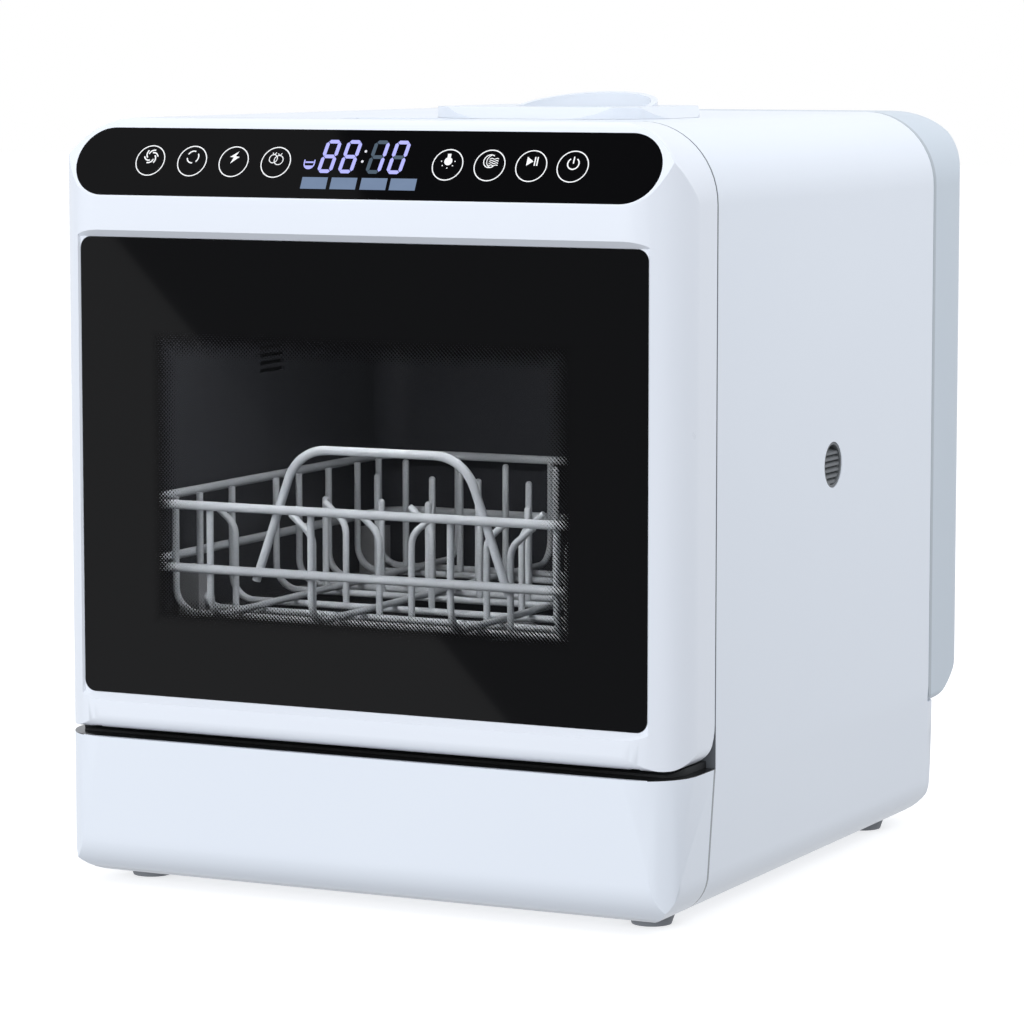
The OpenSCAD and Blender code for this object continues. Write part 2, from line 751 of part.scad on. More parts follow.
// Steel hinge arms: a pin eye, a neck through the case wall and a foot under the apron's top
module hinge_brackets() {
  neck_z = door_z0 + 0.3;
  foot_z = apron_h - wall - seat;
  color("silver") both_sides(hinge_x) difference() {
    union() {
      rod([-arm_t / 2, hinge_y, hinge_z], [arm_t / 2, hinge_y, hinge_z], boss_r);
      along_x(-arm_t / 2, arm_t / 2) polygon([
        [hinge_y - 2, hinge_z + 4], [hinge_y - 2, hinge_z - 6], [seam - 12, neck_z - 3.2],
        [seam + wall + 1, neck_z - 3.2], [seam + wall + 1, foot_z - 3], [seam + bracket_in, foot_z - 3],
        [seam + bracket_in, neck_z + 3.2], [land_y - 8, neck_z + 3.2], [hinge_y + 3, hinge_z + 5.4]]);
      block([-bracket_foot / 2, seam - 38, foot_z - 3], [bracket_foot / 2, seam + bracket_in, foot_z]);
    }
    rod([-arm_t, hinge_y, hinge_z], [arm_t, hinge_y, hinge_z], pin_r + run_gap);
    for (side = [-1, 1])
      translate([side * bracket_hole_x, seam - bracket_hole_y, foot_z - 4]) cylinder(h = 5, r = screw_r + seat);
  }
}

// Dark strip on the apron's top that closes the slot under the door
module slot_strip() {
  z0 = apron_h + seat;
  color("black") difference() {
    intersection() {
      along_x(-half_w, half_w) polygon([[front + 16, z0], [front + 16, z0 + 1.6], [front + 29, z0 + 4.2],
        [seam - seat, z0 + 4.2], [seam - seat, z0]]);
      along_z(0, case_h) polygon(case_plan(6));
    }
    both_sides(hinge_x)
      block([-arm_room, front + 24, z0 - 1], [arm_room, seam, door_z0]);
  }
}

lock_x = -half_w + 130;
lock_z = tub_z1 + 15;
lock_d = 26;

// Lock box over the tub's mouth, with a pocket for the door's hook
module door_lock() {
  y0 = seam + wall + seat;
  z0 = tub_z1 + tub_t + 1.2;
  color("dimgray") translate([lock_x, 0, 0]) difference() {
    block([-24, y0, z0], [24, y0 + lock_d, case_h - wall - 0.6]);
    block([-7, y0 - 1, lock_z - 2.6], [7, y0 + 14, lock_z + 5.6]);
    block([-20, y0 + 16, z0 + 6], [20, y0 + lock_d - 2, case_h]);
  }
}

// Hook on the door's liner that enters the lock
module door_hook() {
  hook_t = 2;
  color("dimgray") translate([lock_x, 0, 0]) union() {
    block([-9, land_y + seat, lock_z - 4], [9, land_y + 2.2, lock_z + 5.5]);
    block([-5, land_y + 1, lock_z], [5, seam + wall + 9, lock_z + hook_t]);
    along_x(-5, 5) polygon([
      [seam + wall + 4, lock_z + hook_t - 0.5], [seam + wall + 9, lock_z + hook_t - 0.5],
      [seam + wall + 6, lock_z + hook_t + 1]]);
  }
}

// Clear lens in the tub ceiling and the lamp's board above it
module lamp_lens() {
  color([0.9, 0.95, 1, 0.6]) translate([lamp_pos[0], lamp_pos[1], 0]) union() {
    translate([0, 0, tub_z1 - 2]) cylinder(h = 1.9, r1 = lamp_r, r2 = lamp_r + 3);
    translate([0, 0, tub_z1 - 0.2]) cylinder(h = tub_t + 1, r = lamp_r);
  }
}

module lamp_board() {
  z0 = tub_z1 + tub_t + 0.9;
  color("seagreen") translate([lamp_pos[0], lamp_pos[1], z0]) union() {
    cylinder(h = 1.6, r = lamp_r - 1);
    for (k = [0:2]) rotate([0, 0, 120 * k]) translate([6, 0, 1.5]) cylinder(h = 1.2, r = 2.5);
  }
}

// ---------- sump, filter and washing circuit ----------

sump_z0 = foot_h + wall * 2 + 12;
sump_t = 2.5;
cup_r = 33;
plate_t = 1;
pump_z = 51;
volute_r = 33;
volute_x = [-72, -42];
heater_x = [volute_x[1] + seat, sump_x - sump_r - 12];
heater_r = 19;
feed_x = volute_x[0] + 14;
feed_z = hose_z;

// Sump bowl that hangs under the tub floor
module sump() {
  top = tub_z0 - tub_floor_t - seat;
  color("gainsboro") difference() {
    union() {
      translate([sump_x, hub_y, sump_z0]) cylinder(h = top - sump_z0, r = sump_r);
      translate([sump_x, hub_y, top - 4]) cylinder(h = 4, r = sump_r + 8);
    }
    translate([sump_x, hub_y, sump_z0 + sump_t]) cylinder(h = top, r = sump_r - sump_t);
    rod([sump_x - sump_r - 1, hub_y, pump_z], [sump_x, hub_y, pump_z], 11);
    rod([sump_x, hub_y, pump_z], [sump_x + sump_r + 1, hub_y, pump_z], 8);
    rod([tank_out[0], hub_y, hose_z], [tank_out[0], hub_y + sump_r + 1, hose_z], hose_r + seat);
  }
}

// Perforated steel plate round the filter cup
module filter_plate() {
  z0 = tub_z0 - 3 + seat;
  color("silver") translate([sump_x, hub_y, z0]) difference() {
    cylinder(h = plate_t, r = plate_r);
    translate([0, 0, -1]) cylinder(h = 4, r = cup_r + 1.5);
    for (row = [0:2], k = [0:29])
      rotate([0, 0, k * 12 + row * 6]) translate([cup_r + 6 + row * 6, 0, -1]) cylinder(h = 4, r = 1.5);
  }
}

// Filter cup: slotted basket with a rim that rests on the plate and a bar to twist it by
module filter_cup() {
  z0 = sump_z0 + sump_t + 6;
  rim_z = tub_z0 - 3 + plate_t + 2 * seat;
  color("lightsteelblue") translate([sump_x, hub_y, 0]) difference() {
    union() {
      translate([0, 0, z0]) cylinder(h = rim_z - z0 + 1, r = cup_r);
      translate([0, 0, rim_z]) cylinder(h = 2, r = cup_r + 4);
      block([-cup_r + 4, -3, rim_z - 2], [cup_r - 4, 3, rim_z + 10]);
    }
    difference() {
      translate([0, 0, z0 + 2]) cylinder(h = rim_z - z0 + 2, r = cup_r - 1.6);
      block([-cup_r, -3, rim_z - 2], [cup_r, 3, rim_z + 10]);
    }
    for (k = [0:11])
      rotate([0, 0, k * 30 + 15]) block([cup_r - 5, -3.5, z0 + 6], [cup_r + 2, 3.5, rim_z - 8]);
  }
}

// Flow heater in line between the sump and the pump
module heater() {
  color("silver") difference() {
    union() {
      rod([heater_x[0], hub_y, pump_z], [heater_x[1], hub_y, pump_z], heater_r);
      for (x = [heater_x[0], heater_x[1] - 5]) rod([x, hub_y, pump_z], [x + 5, hub_y, pump_z], heater_r + 3);
      rod([heater_x[1] - 1, hub_y, pump_z], [sump_x - sump_r + 1, hub_y, pump_z], 10.8);
      for (y = [-7, 7]) block([heater_x[0] + 20, hub_y + y - 3, pump_z + heater_r - 1],
        [heater_x[0] + 21, hub_y + y + 3, pump_z + heater_r + 12]);
    }
    rod([heater_x[0] - 1, hub_y, pump_z], [heater_x[1] - 3, hub_y, pump_z], heater_r - 1.5);
    rod([heater_x[1] - 4, hub_y, pump_z], [sump_x, hub_y, pump_z], 9);
  }
}

shaft_r = 3;

// Pump volute with its suction eye towards the heater and its outlet on top
module wash_pump_case() {
  x0 = volute_x[0];
  x1 = volute_x[1];
  color("gainsboro") difference() {
    union() {
      rod([x0, hub_y, pump_z], [x1, hub_y, pump_z], volute_r);
      rod([feed_x, hub_y, pump_z + volute_r - 6], [feed_x, hub_y, feed_z - 11], 11);
    }
    rod([x0 + 4, hub_y, pump_z], [x1 - 3, hub_y, pump_z], volute_r - 3);
    rod([x1 - 4, hub_y, pump_z], [x1 + 1, hub_y, pump_z], 12);
    rod([x0 - 1, hub_y, pump_z], [x0 + 5, hub_y, pump_z], shaft_r + run_gap);
    rod([feed_x, hub_y, pump_z + 20], [feed_x, hub_y, feed_z], 8);
  }
}

// Impeller with curved blades on the motor's shaft
module wash_pump_wheel() {
  x0 = volute_x[0] + 6;
  color("white") union() {
    rod([volute_x[0] - 10, hub_y, pump_z], [x0 + 12, hub_y, pump_z], shaft_r);
    rod([x0, hub_y, pump_z], [x0 + 2.5, hub_y, pump_z], 27);
    rod([x0, hub_y, pump_z], [x0 + 11, hub_y, pump_z], 9);
    for (k = [0:5])
      translate([x0, hub_y, pump_z]) rotate([60 * k, 0, 0]) translate([0, 7, 0]) rotate([-30, 0, 0])
        block([2, 0, -0.8], [11, 18, 0.8]);
  }
}

motor_x0 = volute_x[0] - 78;

module wash_pump_motor() {
  x1 = volute_x[0] - seat;
  color("dimgray") difference() {
    union() {
      rod([x1 - 6, hub_y, pump_z], [x1, hub_y, pump_z], 30);
      rod([motor_x0 + 8, hub_y, pump_z], [x1 - 5, hub_y, pump_z], 27);
      for (k = [0:11]) translate([0, hub_y, pump_z]) rotate([30 * k, 0, 0])
        block([motor_x0 + 16, -1, 26], [x1 - 8, 1, 30]);
      rod([motor_x0, hub_y, pump_z], [motor_x0 + 9, hub_y, pump_z], 18);
      block([motor_x0 + 24, hub_y - 16, pan_top + rib_h + seat], [x1 - 20, hub_y + 16, pump_z - 24]);
    }
    rod([x1 - 11, hub_y, pump_z], [x1 + 1, hub_y, pump_z], shaft_r + run_gap);
  }
}

pipe_r = 8;
pipe_t = 1.6;
feed_y = tub_rear + tub_t + pipe_r + 3;
feed_top = tub_z1 + tub_t + pipe_r + 1.5;

// Path of the water to both arms, as a solid of the given radius
module feed_path(r) {
  e = 13;
  z = feed_z;
  rod([feed_x, hub_y, z], [-e, hub_y, z], r);
  bend_xz([-e, hub_y, z + e], e, 270, 90, r);
  rod([feed_x, hub_y, z], [feed_x, feed_y - e, z], r);
  bend_yz([feed_x, feed_y - e, z + e], e, 270, 90, r);
  rod([feed_x, feed_y, z + e], [feed_x, feed_y, feed_top - e], r);
  bend_yz([feed_x, feed_y - e, feed_top - e], e, 0, 90, r);
  rod([feed_x, feed_y - e, feed_top], [feed_x, hub_y + e, feed_top], r);
  bend_xy([feed_x + e, hub_y + e, feed_top], e, 180, 90, r);
  rod([feed_x + e, hub_y, feed_top], [0, hub_y, feed_top], r);
}

// Pipe from the pump: one branch to the lower post, one up the rear and over the tub to the upper post
module feed_pipe() {
  color("gainsboro") union() {
    feed_path(pipe_r);
    rod([feed_x, hub_y, feed_z - 11 + seat], [feed_x, hub_y, feed_z + pipe_r + 2], pipe_r + 2.4);
    rod([0, hub_y, feed_top - pipe_r - 1.2], [0, hub_y, feed_top + pipe_r + seat], pipe_r + 2.4);
  }
}

arm_z = tub_z0 + 13;
arm_h = 9;
arm_w = 30;
upper_arm_z = tub_z1 - 22;
post_top = arm_z + arm_h + 2;

// Fixed hollow post in the tub floor
module lower_arm_post() {
  z0 = feed_z + 13 + seat;
  color("gainsboro") translate([0, hub_y, 0]) difference() {
    union() {
      translate([0, 0, z0]) cylinder(h = post_top + 5 - z0, r = post_r);
      translate([0, 0, tub_z0 + seat]) cylinder(h = arm_z - 1.5 - tub_z0, r1 = post_r + 8, r2 = post_r + 4);
      translate([0, 0, z0]) cylinder(h = tub_z0 - tub_floor_t - seat - z0, r = post_r + 6);
    }
    translate([0, 0, z0 - 1]) cylinder(h = arm_z + 3 - z0, r = post_r - 2);
    for (k = [0:3])
      rotate([0, 0, 90 * k + 45]) rod([0, 0, arm_z + 4], [post_r + 1, 0, arm_z + 4], 2);
  }
}

// Cap that keeps the lower arm on its post
module lower_arm_cap() {
  color("gray") translate([0, hub_y, post_top - 0.6]) difference() {
    union() {
      cylinder(h = 5, r = post_r + 5);
      translate([0, 0, 4.9]) cylinder(h = 2.5, r1 = post_r + 5, r2 = post_r);
    }
    translate([0, 0, -1]) cylinder(h = 6.7, r = post_r + 0.05);
  }
}

// Half of a spray arm's plan: a tapering blade with a rounded tip
function blade() = concat(
  [[0, -arm_w / 2]],
  [for (i = [0:6]) let (t = i / 6) [24 + (arm_len - 36) * t, -arm_w / 2 + 2 + 4 * t - 5 * sin(180 * t)]],
  arc([arm_len - 10, 0], 10, -60, 60, 8),
  [for (i = [6:-1:0]) let (t = i / 6) [24 + (arm_len - 36) * t, arm_w / 2 - 2 - 4 * t - 5 * sin(180 * t)]],
  [[0, arm_w / 2]]
);

jet_places = [0.25, 0.42, 0.59, 0.76, 0.93];

// Where the jets sit along both blades
module at_jets() {
  for (side = [0, 180], t = jet_places)
    rotate([0, 0, side]) translate([24 + (arm_len - 36) * t, -5 * sin(180 * t), 0]) children();
}

module spray_arm(z, up) {
  translate([0, hub_y, z]) rotate([0, 0, 90]) difference() {
    union() {
      linear_extrude(arm_h - 3) union() {
        polygon(blade());
        rotate(180) polygon(blade());
        circle(arm_w / 2 + 2);
      }
      translate([0, 0, up > 0 ? arm_h - 4 : -3]) cylinder(h = 4, r = arm_w / 2);
      at_jets() translate([0, 0, up > 0 ? arm_h - 4 : -1]) cylinder(h = 2, r = 4);
    }
    translate([0, 0, -10]) cylinder(h = 30, r = post_r + run_gap);
    at_jets() translate([0, 0, up > 0 ? 2 : -2]) cylinder(h = 8, r = 1.3);
  }
}

module lower_spray_arm() {
  color("lightgray") spray_arm(arm_z, 1);
}

// Fixed hollow post that hangs from the tub ceiling
module upper_arm_post() {
  z0 = upper_arm_z + arm_h;
  z1 = feed_top - pipe_r - 1.2 - seat;
  color("gainsboro") translate([0, hub_y, 0]) difference() {
    union() {
      translate([0, 0, upper_arm_z - 8]) cylinder(h = z1 - upper_arm_z + 8, r = post_r);
      translate([0, 0, z0]) cylinder(h = tub_z1 - seat - z0, r1 = post_r + 4, r2 = post_r + 8);
    }
    translate([0, 0, upper_arm_z + 2]) cylinder(h = 60, r = post_r - 2);
    for (k = [0:3])
      rotate([0, 0, 90 * k + 45]) rod([0, 0, upper_arm_z + 4], [post_r + 1, 0, upper_arm_z + 4], 2);
  }
}

module upper_spray_arm() {
  color("lightgray") spray_arm(upper_arm_z + 2, -1);
}

module upper_arm_cap() {
  color("gray") translate([0, hub_y, upper_arm_z - 8.6]) difference() {
    union() {
      translate([0, 0, 2]) cylinder(h = 5, r = post_r + 5);
      cylinder(h = 2.1, r1 = post_r, r2 = post_r + 5);
    }
    translate([0, 0, 0.4]) cylinder(h = 8, r = post_r + 0.05);
  }
}

// ---------- draining, water inlet and power ----------

drain_x = [sump_x + sump_r + 6, sump_x + sump_r + 20];
drain_r = 21;
drain_out = drain_x[0] + 7;

// Drain pump: small volute with an outlet on its rear side and a motor behind it
module drain_pump() {
  x0 = drain_x[0];
  x1 = drain_x[1];
  color("slategray") difference() {
    union() {
      rod([sump_x + sump_r - 1, hub_y, pump_z], [x0 + 1, hub_y, pump_z], 7.8);
      rod([x0, hub_y, pump_z], [x1, hub_y, pump_z], drain_r);
      rod([x1 - 1, hub_y, pump_z], [x1 + 34, hub_y, pump_z], 16);
      block([x1 + 4, hub_y - 14, pan_top + rib_h + seat], [x1 + 28, hub_y + 14, pump_z - 8]);
      rod([drain_out, hub_y, pump_z + 12], [drain_out, hub_y + drain_r + 10, pump_z + 12], 7.2);
    }
    rod([sump_x + sump_r - 2, hub_y, pump_z], [x0 + 3, hub_y, pump_z], 6);
    rod([x0 + 2, hub_y, pump_z], [x1 - 2, hub_y, pump_z], drain_r - 2);
    rod([x1 - 3, hub_y, pump_z], [x1 + 8, hub_y, pump_z], 2 + run_gap);
    rod([drain_out, hub_y + 10, pump_z + 12], [drain_out, hub_y + drain_r + 11, pump_z + 12], 5);
  }
}

module drain_pump_wheel() {
  x0 = drain_x[0] + 3.5;
  color("white") union() {
    rod([x0, hub_y, pump_z], [drain_x[1] + 6, hub_y, pump_z], 2);
    rod([x0 + 5.6, hub_y, pump_z], [x0 + 7.4, hub_y, pump_z], 15);
    for (k = [0:3]) translate([0, hub_y, pump_z]) rotate([90 * k, 0, 0]) block([x0, 1, -0.8], [x0 + 6, 15, 0.8]);
  }
}

// Rubber hose from the drain pump to the spigot in the rear wall
module drain_hose() {
  start = [drain_out, hub_y + drain_r + 10 + seat, pump_z + 12];
  turn = 12;
  end = [spigot_x, base_back - wall - 8, service_z];
  first = start + [0, turn, 0];
  last = end - [0, turn, 0];
  middle = (first + last) / 2 + [(end[0] - start[0]) / 2, 0, 0];
  color("black") union() {
    rod(start, first, 8.8);
    for (bend = [first, middle]) translate(bend) sphere(8.9);
    rod(first, middle, 8.6);
    rod(middle, last, 8.6);
    rod(last - [0, 1, 0], end, 8.8);
  }
}

// Ribbed spigot for the drain hose outside
module drain_spigot() {
  y0 = base_back - wall - 8 + seat;
  color("white") difference() {
    union() {
      rod([spigot_x, y0, service_z], [spigot_x, base_back - wall - seat, service_z], spigot_r + 5);
      rod([spigot_x, base_back - wall - 1, service_z], [spigot_x, base_back + 26, service_z], spigot_r);
      for (k = [0:2]) translate([spigot_x, base_back + 25 + k * 5, service_z]) rotate([-90, 0, 0])
        cylinder(h = 5.2, r1 = spigot_r, r2 = spigot_r - 1.2);
    }
    rod([spigot_x, y0 + 1, service_z], [spigot_x, base_back + 43, service_z], spigot_r - 2.5);
  }
}

// Solenoid inlet valve with a plain-topped threaded stub through the rear wall
module inlet_valve() {
  y0 = base_back - wall - seat;
  color("white") difference() {
    union() {
      rod([inlet_x, y0 - 6, service_z], [inlet_x, y0, service_z], inlet_r + 6);
      rod([inlet_x, y0 - 1, service_z], [inlet_x, base_back + 15, service_z], inlet_r);
      block([inlet_x - 13, y0 - 34, service_z - 13], [inlet_x + 13, y0 - 5, service_z + 13]);
      rod([inlet_x - 30, y0 - 20, service_z], [inlet_x - 12, y0 - 20, service_z], 11);
      rod([inlet_x, y0 - 26, service_z + 12], [inlet_x, y0 - 26, tank_z0 + 16], 5.5);
      rod([inlet_x, y0 - 26, tank_z0 + 10], [inlet_x, tank_y0 - seat, tank_z0 + 10], 5.5);
    }
    rod([inlet_x, y0 - 4, service_z], [inlet_x, base_back + 16, service_z], inlet_r - 3.4);
  }
}

// Snap-in bushing for the mains cord in the rear wall
module cord_gland() {
  color("black") difference() {
    union() {
      rod([cord_x, base_back - wall - 8, service_z], [cord_x, base_back + 1, service_z], cord_r - seat);
      rod([cord_x, base_back + seat, service_z], [cord_x, base_back + 4, service_z], cord_r + 3);
      rod([cord_x, base_back - wall - 8, service_z], [cord_x, base_back - wall - seat, service_z], cord_r + 1.2);
    }
    rod([cord_x, base_back - wall - 9, service_z], [cord_x, base_back + 5, service_z], 3.6);
  }
}

board_x0 = -pan_x + 6;
board_y0 = pan_y0 + 4;

// Power board on four pillars of the base pan, with its relays, capacitors and heat sink
module power_board() {
  z0 = pan_top + seat;
  h = rib_h + 4;
  w = 120;
  d = 62;
  color("seagreen") translate([board_x0, board_y0, z0]) union() {
    for (x = [8, w - 6], y = [6, d - 6]) translate([x, y, 0]) cylinder(h = h + 0.1, r = 3.5);
    translate([0, 0, h]) cube([w, d, 1.6]);
    for (k = [0:3]) translate([8 + k * 20, 8, h + 1.5]) cube([15, 12, 15]);
    for (k = [0:2]) translate([20 + k * 22, 44, h + 1.5]) cylinder(h = 20, r = 7);
    translate([90, 26, h + 1.5]) cube([24, 3, 22]);
    for (k = [0:5]) translate([91 + k * 4, 28, h + 1.5]) cube([1.4, 12, 22]);
  }
}

fan_y = -10;
fan_z = 320;
fan_r = 34;
fan_x = [-half_w + wall + 3, -tub_w / 2 - tub_t - seat];

// Scroll case of the drying fan on the tub's left wall: open towards the tub slots, inlet eye outside
module fan_case() {
  color("dimgray") difference() {
    union() {
      rod([fan_x[0], fan_y, fan_z], [fan_x[1], fan_y, fan_z], fan_r + 8);
      block([fan_x[0], fan_y, fan_z - fan_r - 8], [fan_x[1], fan_y + fan_r + 22, fan_z - 12]);
    }
    rod([fan_x[0] + 2, fan_y, fan_z], [fan_x[1] + 1, fan_y, fan_z], fan_r + 6);
    rod([fan_x[0] - 1, fan_y, fan_z], [fan_x[0] + 3, fan_y, fan_z], 16);
    block([fan_x[0] + 2, fan_y, fan_z - fan_r - 6], [fan_x[1] + 1, fan_y + fan_r + 20, fan_z - 14]);
  }
  color("dimgray") difference() {
    block([fan_x[1] - 2.2, fan_y - fan_r - 7, fan_z - 5], [fan_x[1], fan_y + fan_r + 7, fan_z + 5]);
    rod([fan_x[1] - 4, fan_y, fan_z], [fan_x[1] + 1, fan_y, fan_z], 2 + run_gap);
  }
}

// Fan motor cup and ring of blades
module fan_wheel() {
  x0 = fan_x[0] + 5;
  x1 = fan_x[1] - 6;
  color("black") union() {
    rod([x0 + 2, fan_y, fan_z], [x1, fan_y, fan_z], 12);
    rod([x1 - 1, fan_y, fan_z], [fan_x[1] - seat, fan_y, fan_z], 2);
    rod([x1 - 2, fan_y, fan_z], [x1, fan_y, fan_z], fan_r);
    for (k = [0:19]) translate([0, fan_y, fan_z]) rotate([18 * k, 0, 0])
      translate([0, fan_r - 5, 0]) rotate([35, 0, 0]) block([x0, -4, -0.7], [x1 - 1, 4, 0.7]);
    difference() {
      rod([x0, fan_y, fan_z], [x0 + 2, fan_y, fan_z], fan_r);
      rod([x0 - 1, fan_y, fan_z], [x0 + 3, fan_y, fan_z], fan_r - 9);
    }
  }
}

// ---------- door ----------

tilt_c = cos(panel_tilt);
tilt_s = sin(panel_tilt);
crown_r = 6;
rim_end = seam - seam_gap;

// Side view of the door: vertical front, tilted control face, flat top and a rounded lower rear edge
function door_side_view(inset) = let (
    rise = case_h - crown_r - panel_z,
    crown_y = front + (crown_r + rise * tilt_s) / tilt_c,
    shift = inset * (1 / tilt_c - tilt_s / tilt_c)
  ) concat(
  arc([front + door_lip_r, door_z0 + door_lip_r], door_lip_r - inset, 270, 180, 6),
  [[front + inset, panel_z - shift]],
  arc([crown_y, case_h - crown_r], crown_r - inset, 180 - panel_tilt, 90, 5),
  inset > 0
    ? [[seam + 5, case_h - inset], [seam + 5, door_z0 + heel_r], [rim_end - inset, door_z0 + heel_r]]
    : [[rim_end, case_h]],
  arc([rim_end - heel_r, door_z0 + heel_r], heel_r - inset, 0, -90, 8)
);

function door_front_view(inset) = concat(
  arc([half_w - top_r, case_h - top_r], top_r - inset, 0, 90, 14),
  arc([-half_w + top_r, case_h - top_r], top_r - inset, 90, 180, 14),
  arc([-half_w + door_lip_r, door_z0 + door_lip_r], door_lip_r - inset, 180, 270),
  arc([half_w - door_lip_r, door_z0 + door_lip_r], door_lip_r - inset, 270, 360)
);

module door_block(inset) {
  intersection() {
    along_y(front - 1, seam + 4) polygon(door_front_view(inset));
    along_x(-half_w, half_w) polygon(door_side_view(inset));
    along_z(0, case_h + 1) polygon(concat(
      arc([half_w - door_edge_r, front + door_edge_r], door_edge_r - inset, 270, 360),
      [[half_w - inset, seam + 5], [-half_w + inset, seam + 5]],
      arc([-half_w + door_edge_r, front + door_edge_r], door_edge_r - inset, 180, 270)));
  }
}

// Places children on the tilted face: X across, Y up the slope, Z out of the face
module on_tilt(up, out) {
  translate([0, front, panel_z]) rotate([90 - panel_tilt, 0, 0]) translate([0, up, out]) children();
}

glass_y = front + glass_sink;
glass_gap = 0.3;
glass_lap = 14;
glass_r = 7;
bezel_t = glass_sink + glass_t + wall;
roll_r = land_y - hinge_y + 0.2;
strip_mid = 2 + strip_h / 2;
strip_t = 2;
display_w = 116;
knuckle_t = 4.4;
knuckle_gap = 1.4;
arm_room = arm_t / 2 + knuckle_gap;
liner_t = 2.5;
liner_gap = 0.5;
dish_y = land_y - 29;
dish_x = tub_w / 2 - 3;
dish_z0 = tub_z0 + 4;
dish_z1 = panel_z - 2;

// Stadium outline of the control strip
module strip_outline(grow) {
  r = strip_h / 2 + grow;
  union() {
    square([strip_w - strip_h, 2 * r], center = true);
    for (side = [-1, 1]) translate([side * (strip_w / 2 - strip_h / 2), 0]) circle(r);
  }
}

liner_low = door_z0 + 50.5;
liner_high = case_h - 44;
liner_screw_z = [liner_low, (liner_low + liner_high) / 2, liner_high];

module at_liner_screws() {
  for (side = [-1, 1], z = liner_screw_z) translate([side * (half_w - 10), land_y, z]) children();
}

// Outline of the outer glass, grown all round
function glass_outline(grow) = centred(glass_w / 2 + grow, glass_z0 - grow, glass_z1 + grow, glass_r + grow);

// Bevel round the outer glass: its slopes run from the glass's edge out to the door's front
module bezel_cut() {
  x = [glass_w / 2 + glass_gap, glass_w / 2 + bezel_w];
  z = [[glass_z0 - glass_gap, glass_z1 + glass_gap], [glass_z0 - bezel_w, glass_z1 + bezel_w]];
  intersection() {
    along_y(front - 1, glass_y + seat)
      polygon(glass_outline(bezel_w));
    along_x(-half_w, half_w) polygon([
      [front - 1, z[1][0]], [front, z[1][0]], [glass_y, z[0][0]], [glass_y + 1, z[0][0]],
      [glass_y + 1, z[0][1]], [glass_y, z[0][1]], [front, z[1][1]], [front - 1, z[1][1]]]);
    along_z(0, case_h) polygon([
      [-x[1], front - 1], [-x[1], front], [-x[0], glass_y], [-x[0], glass_y + 1],
      [x[0], glass_y + 1], [x[0], glass_y], [x[1], front], [x[1], front - 1]]);
  }
}

// What rolls past the case's seal: all of the door's lower edge outside roll_r about the hinge
module seal_room(top) {
  difference() {
    block([-half_w + 9, hinge_y, door_z0 - 1], [half_w - 9, seam + 5, top]);
    rod([-half_w, hinge_y, hinge_z], [half_w, hinge_y, hinge_z], roll_r);
  }
}

// White door moulding: rolled edges, a bevelled glass pocket, the strip pocket and the hinge knuckles
module door_frame() {
  color("white") difference() {
    union() {
      difference() {
        door_block(0);
        door_block(wall);
      }
      intersection() {
        door_block(wall / 2);
        union() {
          along_y(front, front + bezel_t) polygon(glass_outline(glass_r));
          on_tilt(0, -strip_t - 3) block([-strip_w / 2 - 4, 0, 0], [strip_w / 2 + 4, strip_h + 4, 4]);
          both_sides(hinge_x) for (side = [-1, 1])
            translate([side * (arm_t / 2 + knuckle_gap + knuckle_t / 2), 0, 0])
              block([-knuckle_t / 2, front, door_z0], [knuckle_t / 2, hinge_y + 8, hinge_z + 6.5]);
          at_liner_screws() rotate([90, 0, 0]) translate([0, 0, liner_t + seat])
            cylinder(h = 32, r = 5);
        }
      }
    }
    // bevel, glass pocket and the opening behind the glass
    bezel_cut();
    along_y(front - 1, glass_y + glass_t + seat) polygon(glass_outline(glass_gap));
    along_y(front - 1, front + bezel_t + 1)
      polygon(centred(glass_w / 2 - glass_lap, glass_z0 + glass_lap, glass_z1 - glass_lap, 8));
    // strip pocket and display opening
    on_tilt(strip_mid, -strip_t - seat) linear_extrude(10) strip_outline(seat);
    on_tilt(strip_mid, -20) linear_extrude(30) square([display_w, strip_h - 12], center = true);
    // room for the hinge arms and the tub, pin holes and screw holes
    both_sides(hinge_x) {
      block([-arm_room, hinge_y - 9.5, door_z0 - 1], [arm_room, seam + 5, hinge_z + 7.5]);
      rod([-12, hinge_y, hinge_z], [12, hinge_y, hinge_z], pin_r + 0.02);
    }
    seal_room(door_z0 + heel_r);
    at_liner_screws() translate([0, 1, 0]) rotate([90, 0, 0]) cylinder(h = 20, r = screw_r + 0.02);
  }
}

module hinge_pins() {
  reach = arm_t / 2 + knuckle_gap + knuckle_t;
  color("silver") both_sides(hinge_x)
    rod([-reach - 1, hinge_y, hinge_z], [reach + 1, hinge_y, hinge_z], pin_r);
}

// Black outer glass with small corner radii
module door_glass() {
  color("black") along_y(glass_y, glass_y + glass_t)
    polygon(glass_outline(0));
}

module control_strip() {
  color("black") on_tilt(strip_mid, -strip_t) linear_extrude(strip_t) strip_outline(0);
}

touch_pitch = 39;

// Touch board behind the control face, with its key springs
module touch_board() {
  color("seagreen") on_tilt(strip_mid, -strip_t - 3 - 8) union() {
    block([-strip_w / 2 + 22, -15, 0], [strip_w / 2 - 22, 15, 1.6]);
    for (side = [-1, 1], k = [0:3])
      translate([side * (display_w / 2 + 12 + k * 26), 0, 1.5]) cylinder(h = 6.3, r = 5);
  }
}

// Display block with its raised digit window
module display_module() {
  color("lavender") on_tilt(strip_mid, -strip_t - 3 - 6.3) union() {
    block([-display_w / 2 + 2, -strip_h / 2 + 8, 0], [display_w / 2 - 2, strip_h / 2 - 8, 8.6]);
    block([-display_w / 2 + 6, -strip_h / 2 + 10, 8.5], [display_w / 2 - 6, strip_h / 2 - 10, 9]);
  }
}

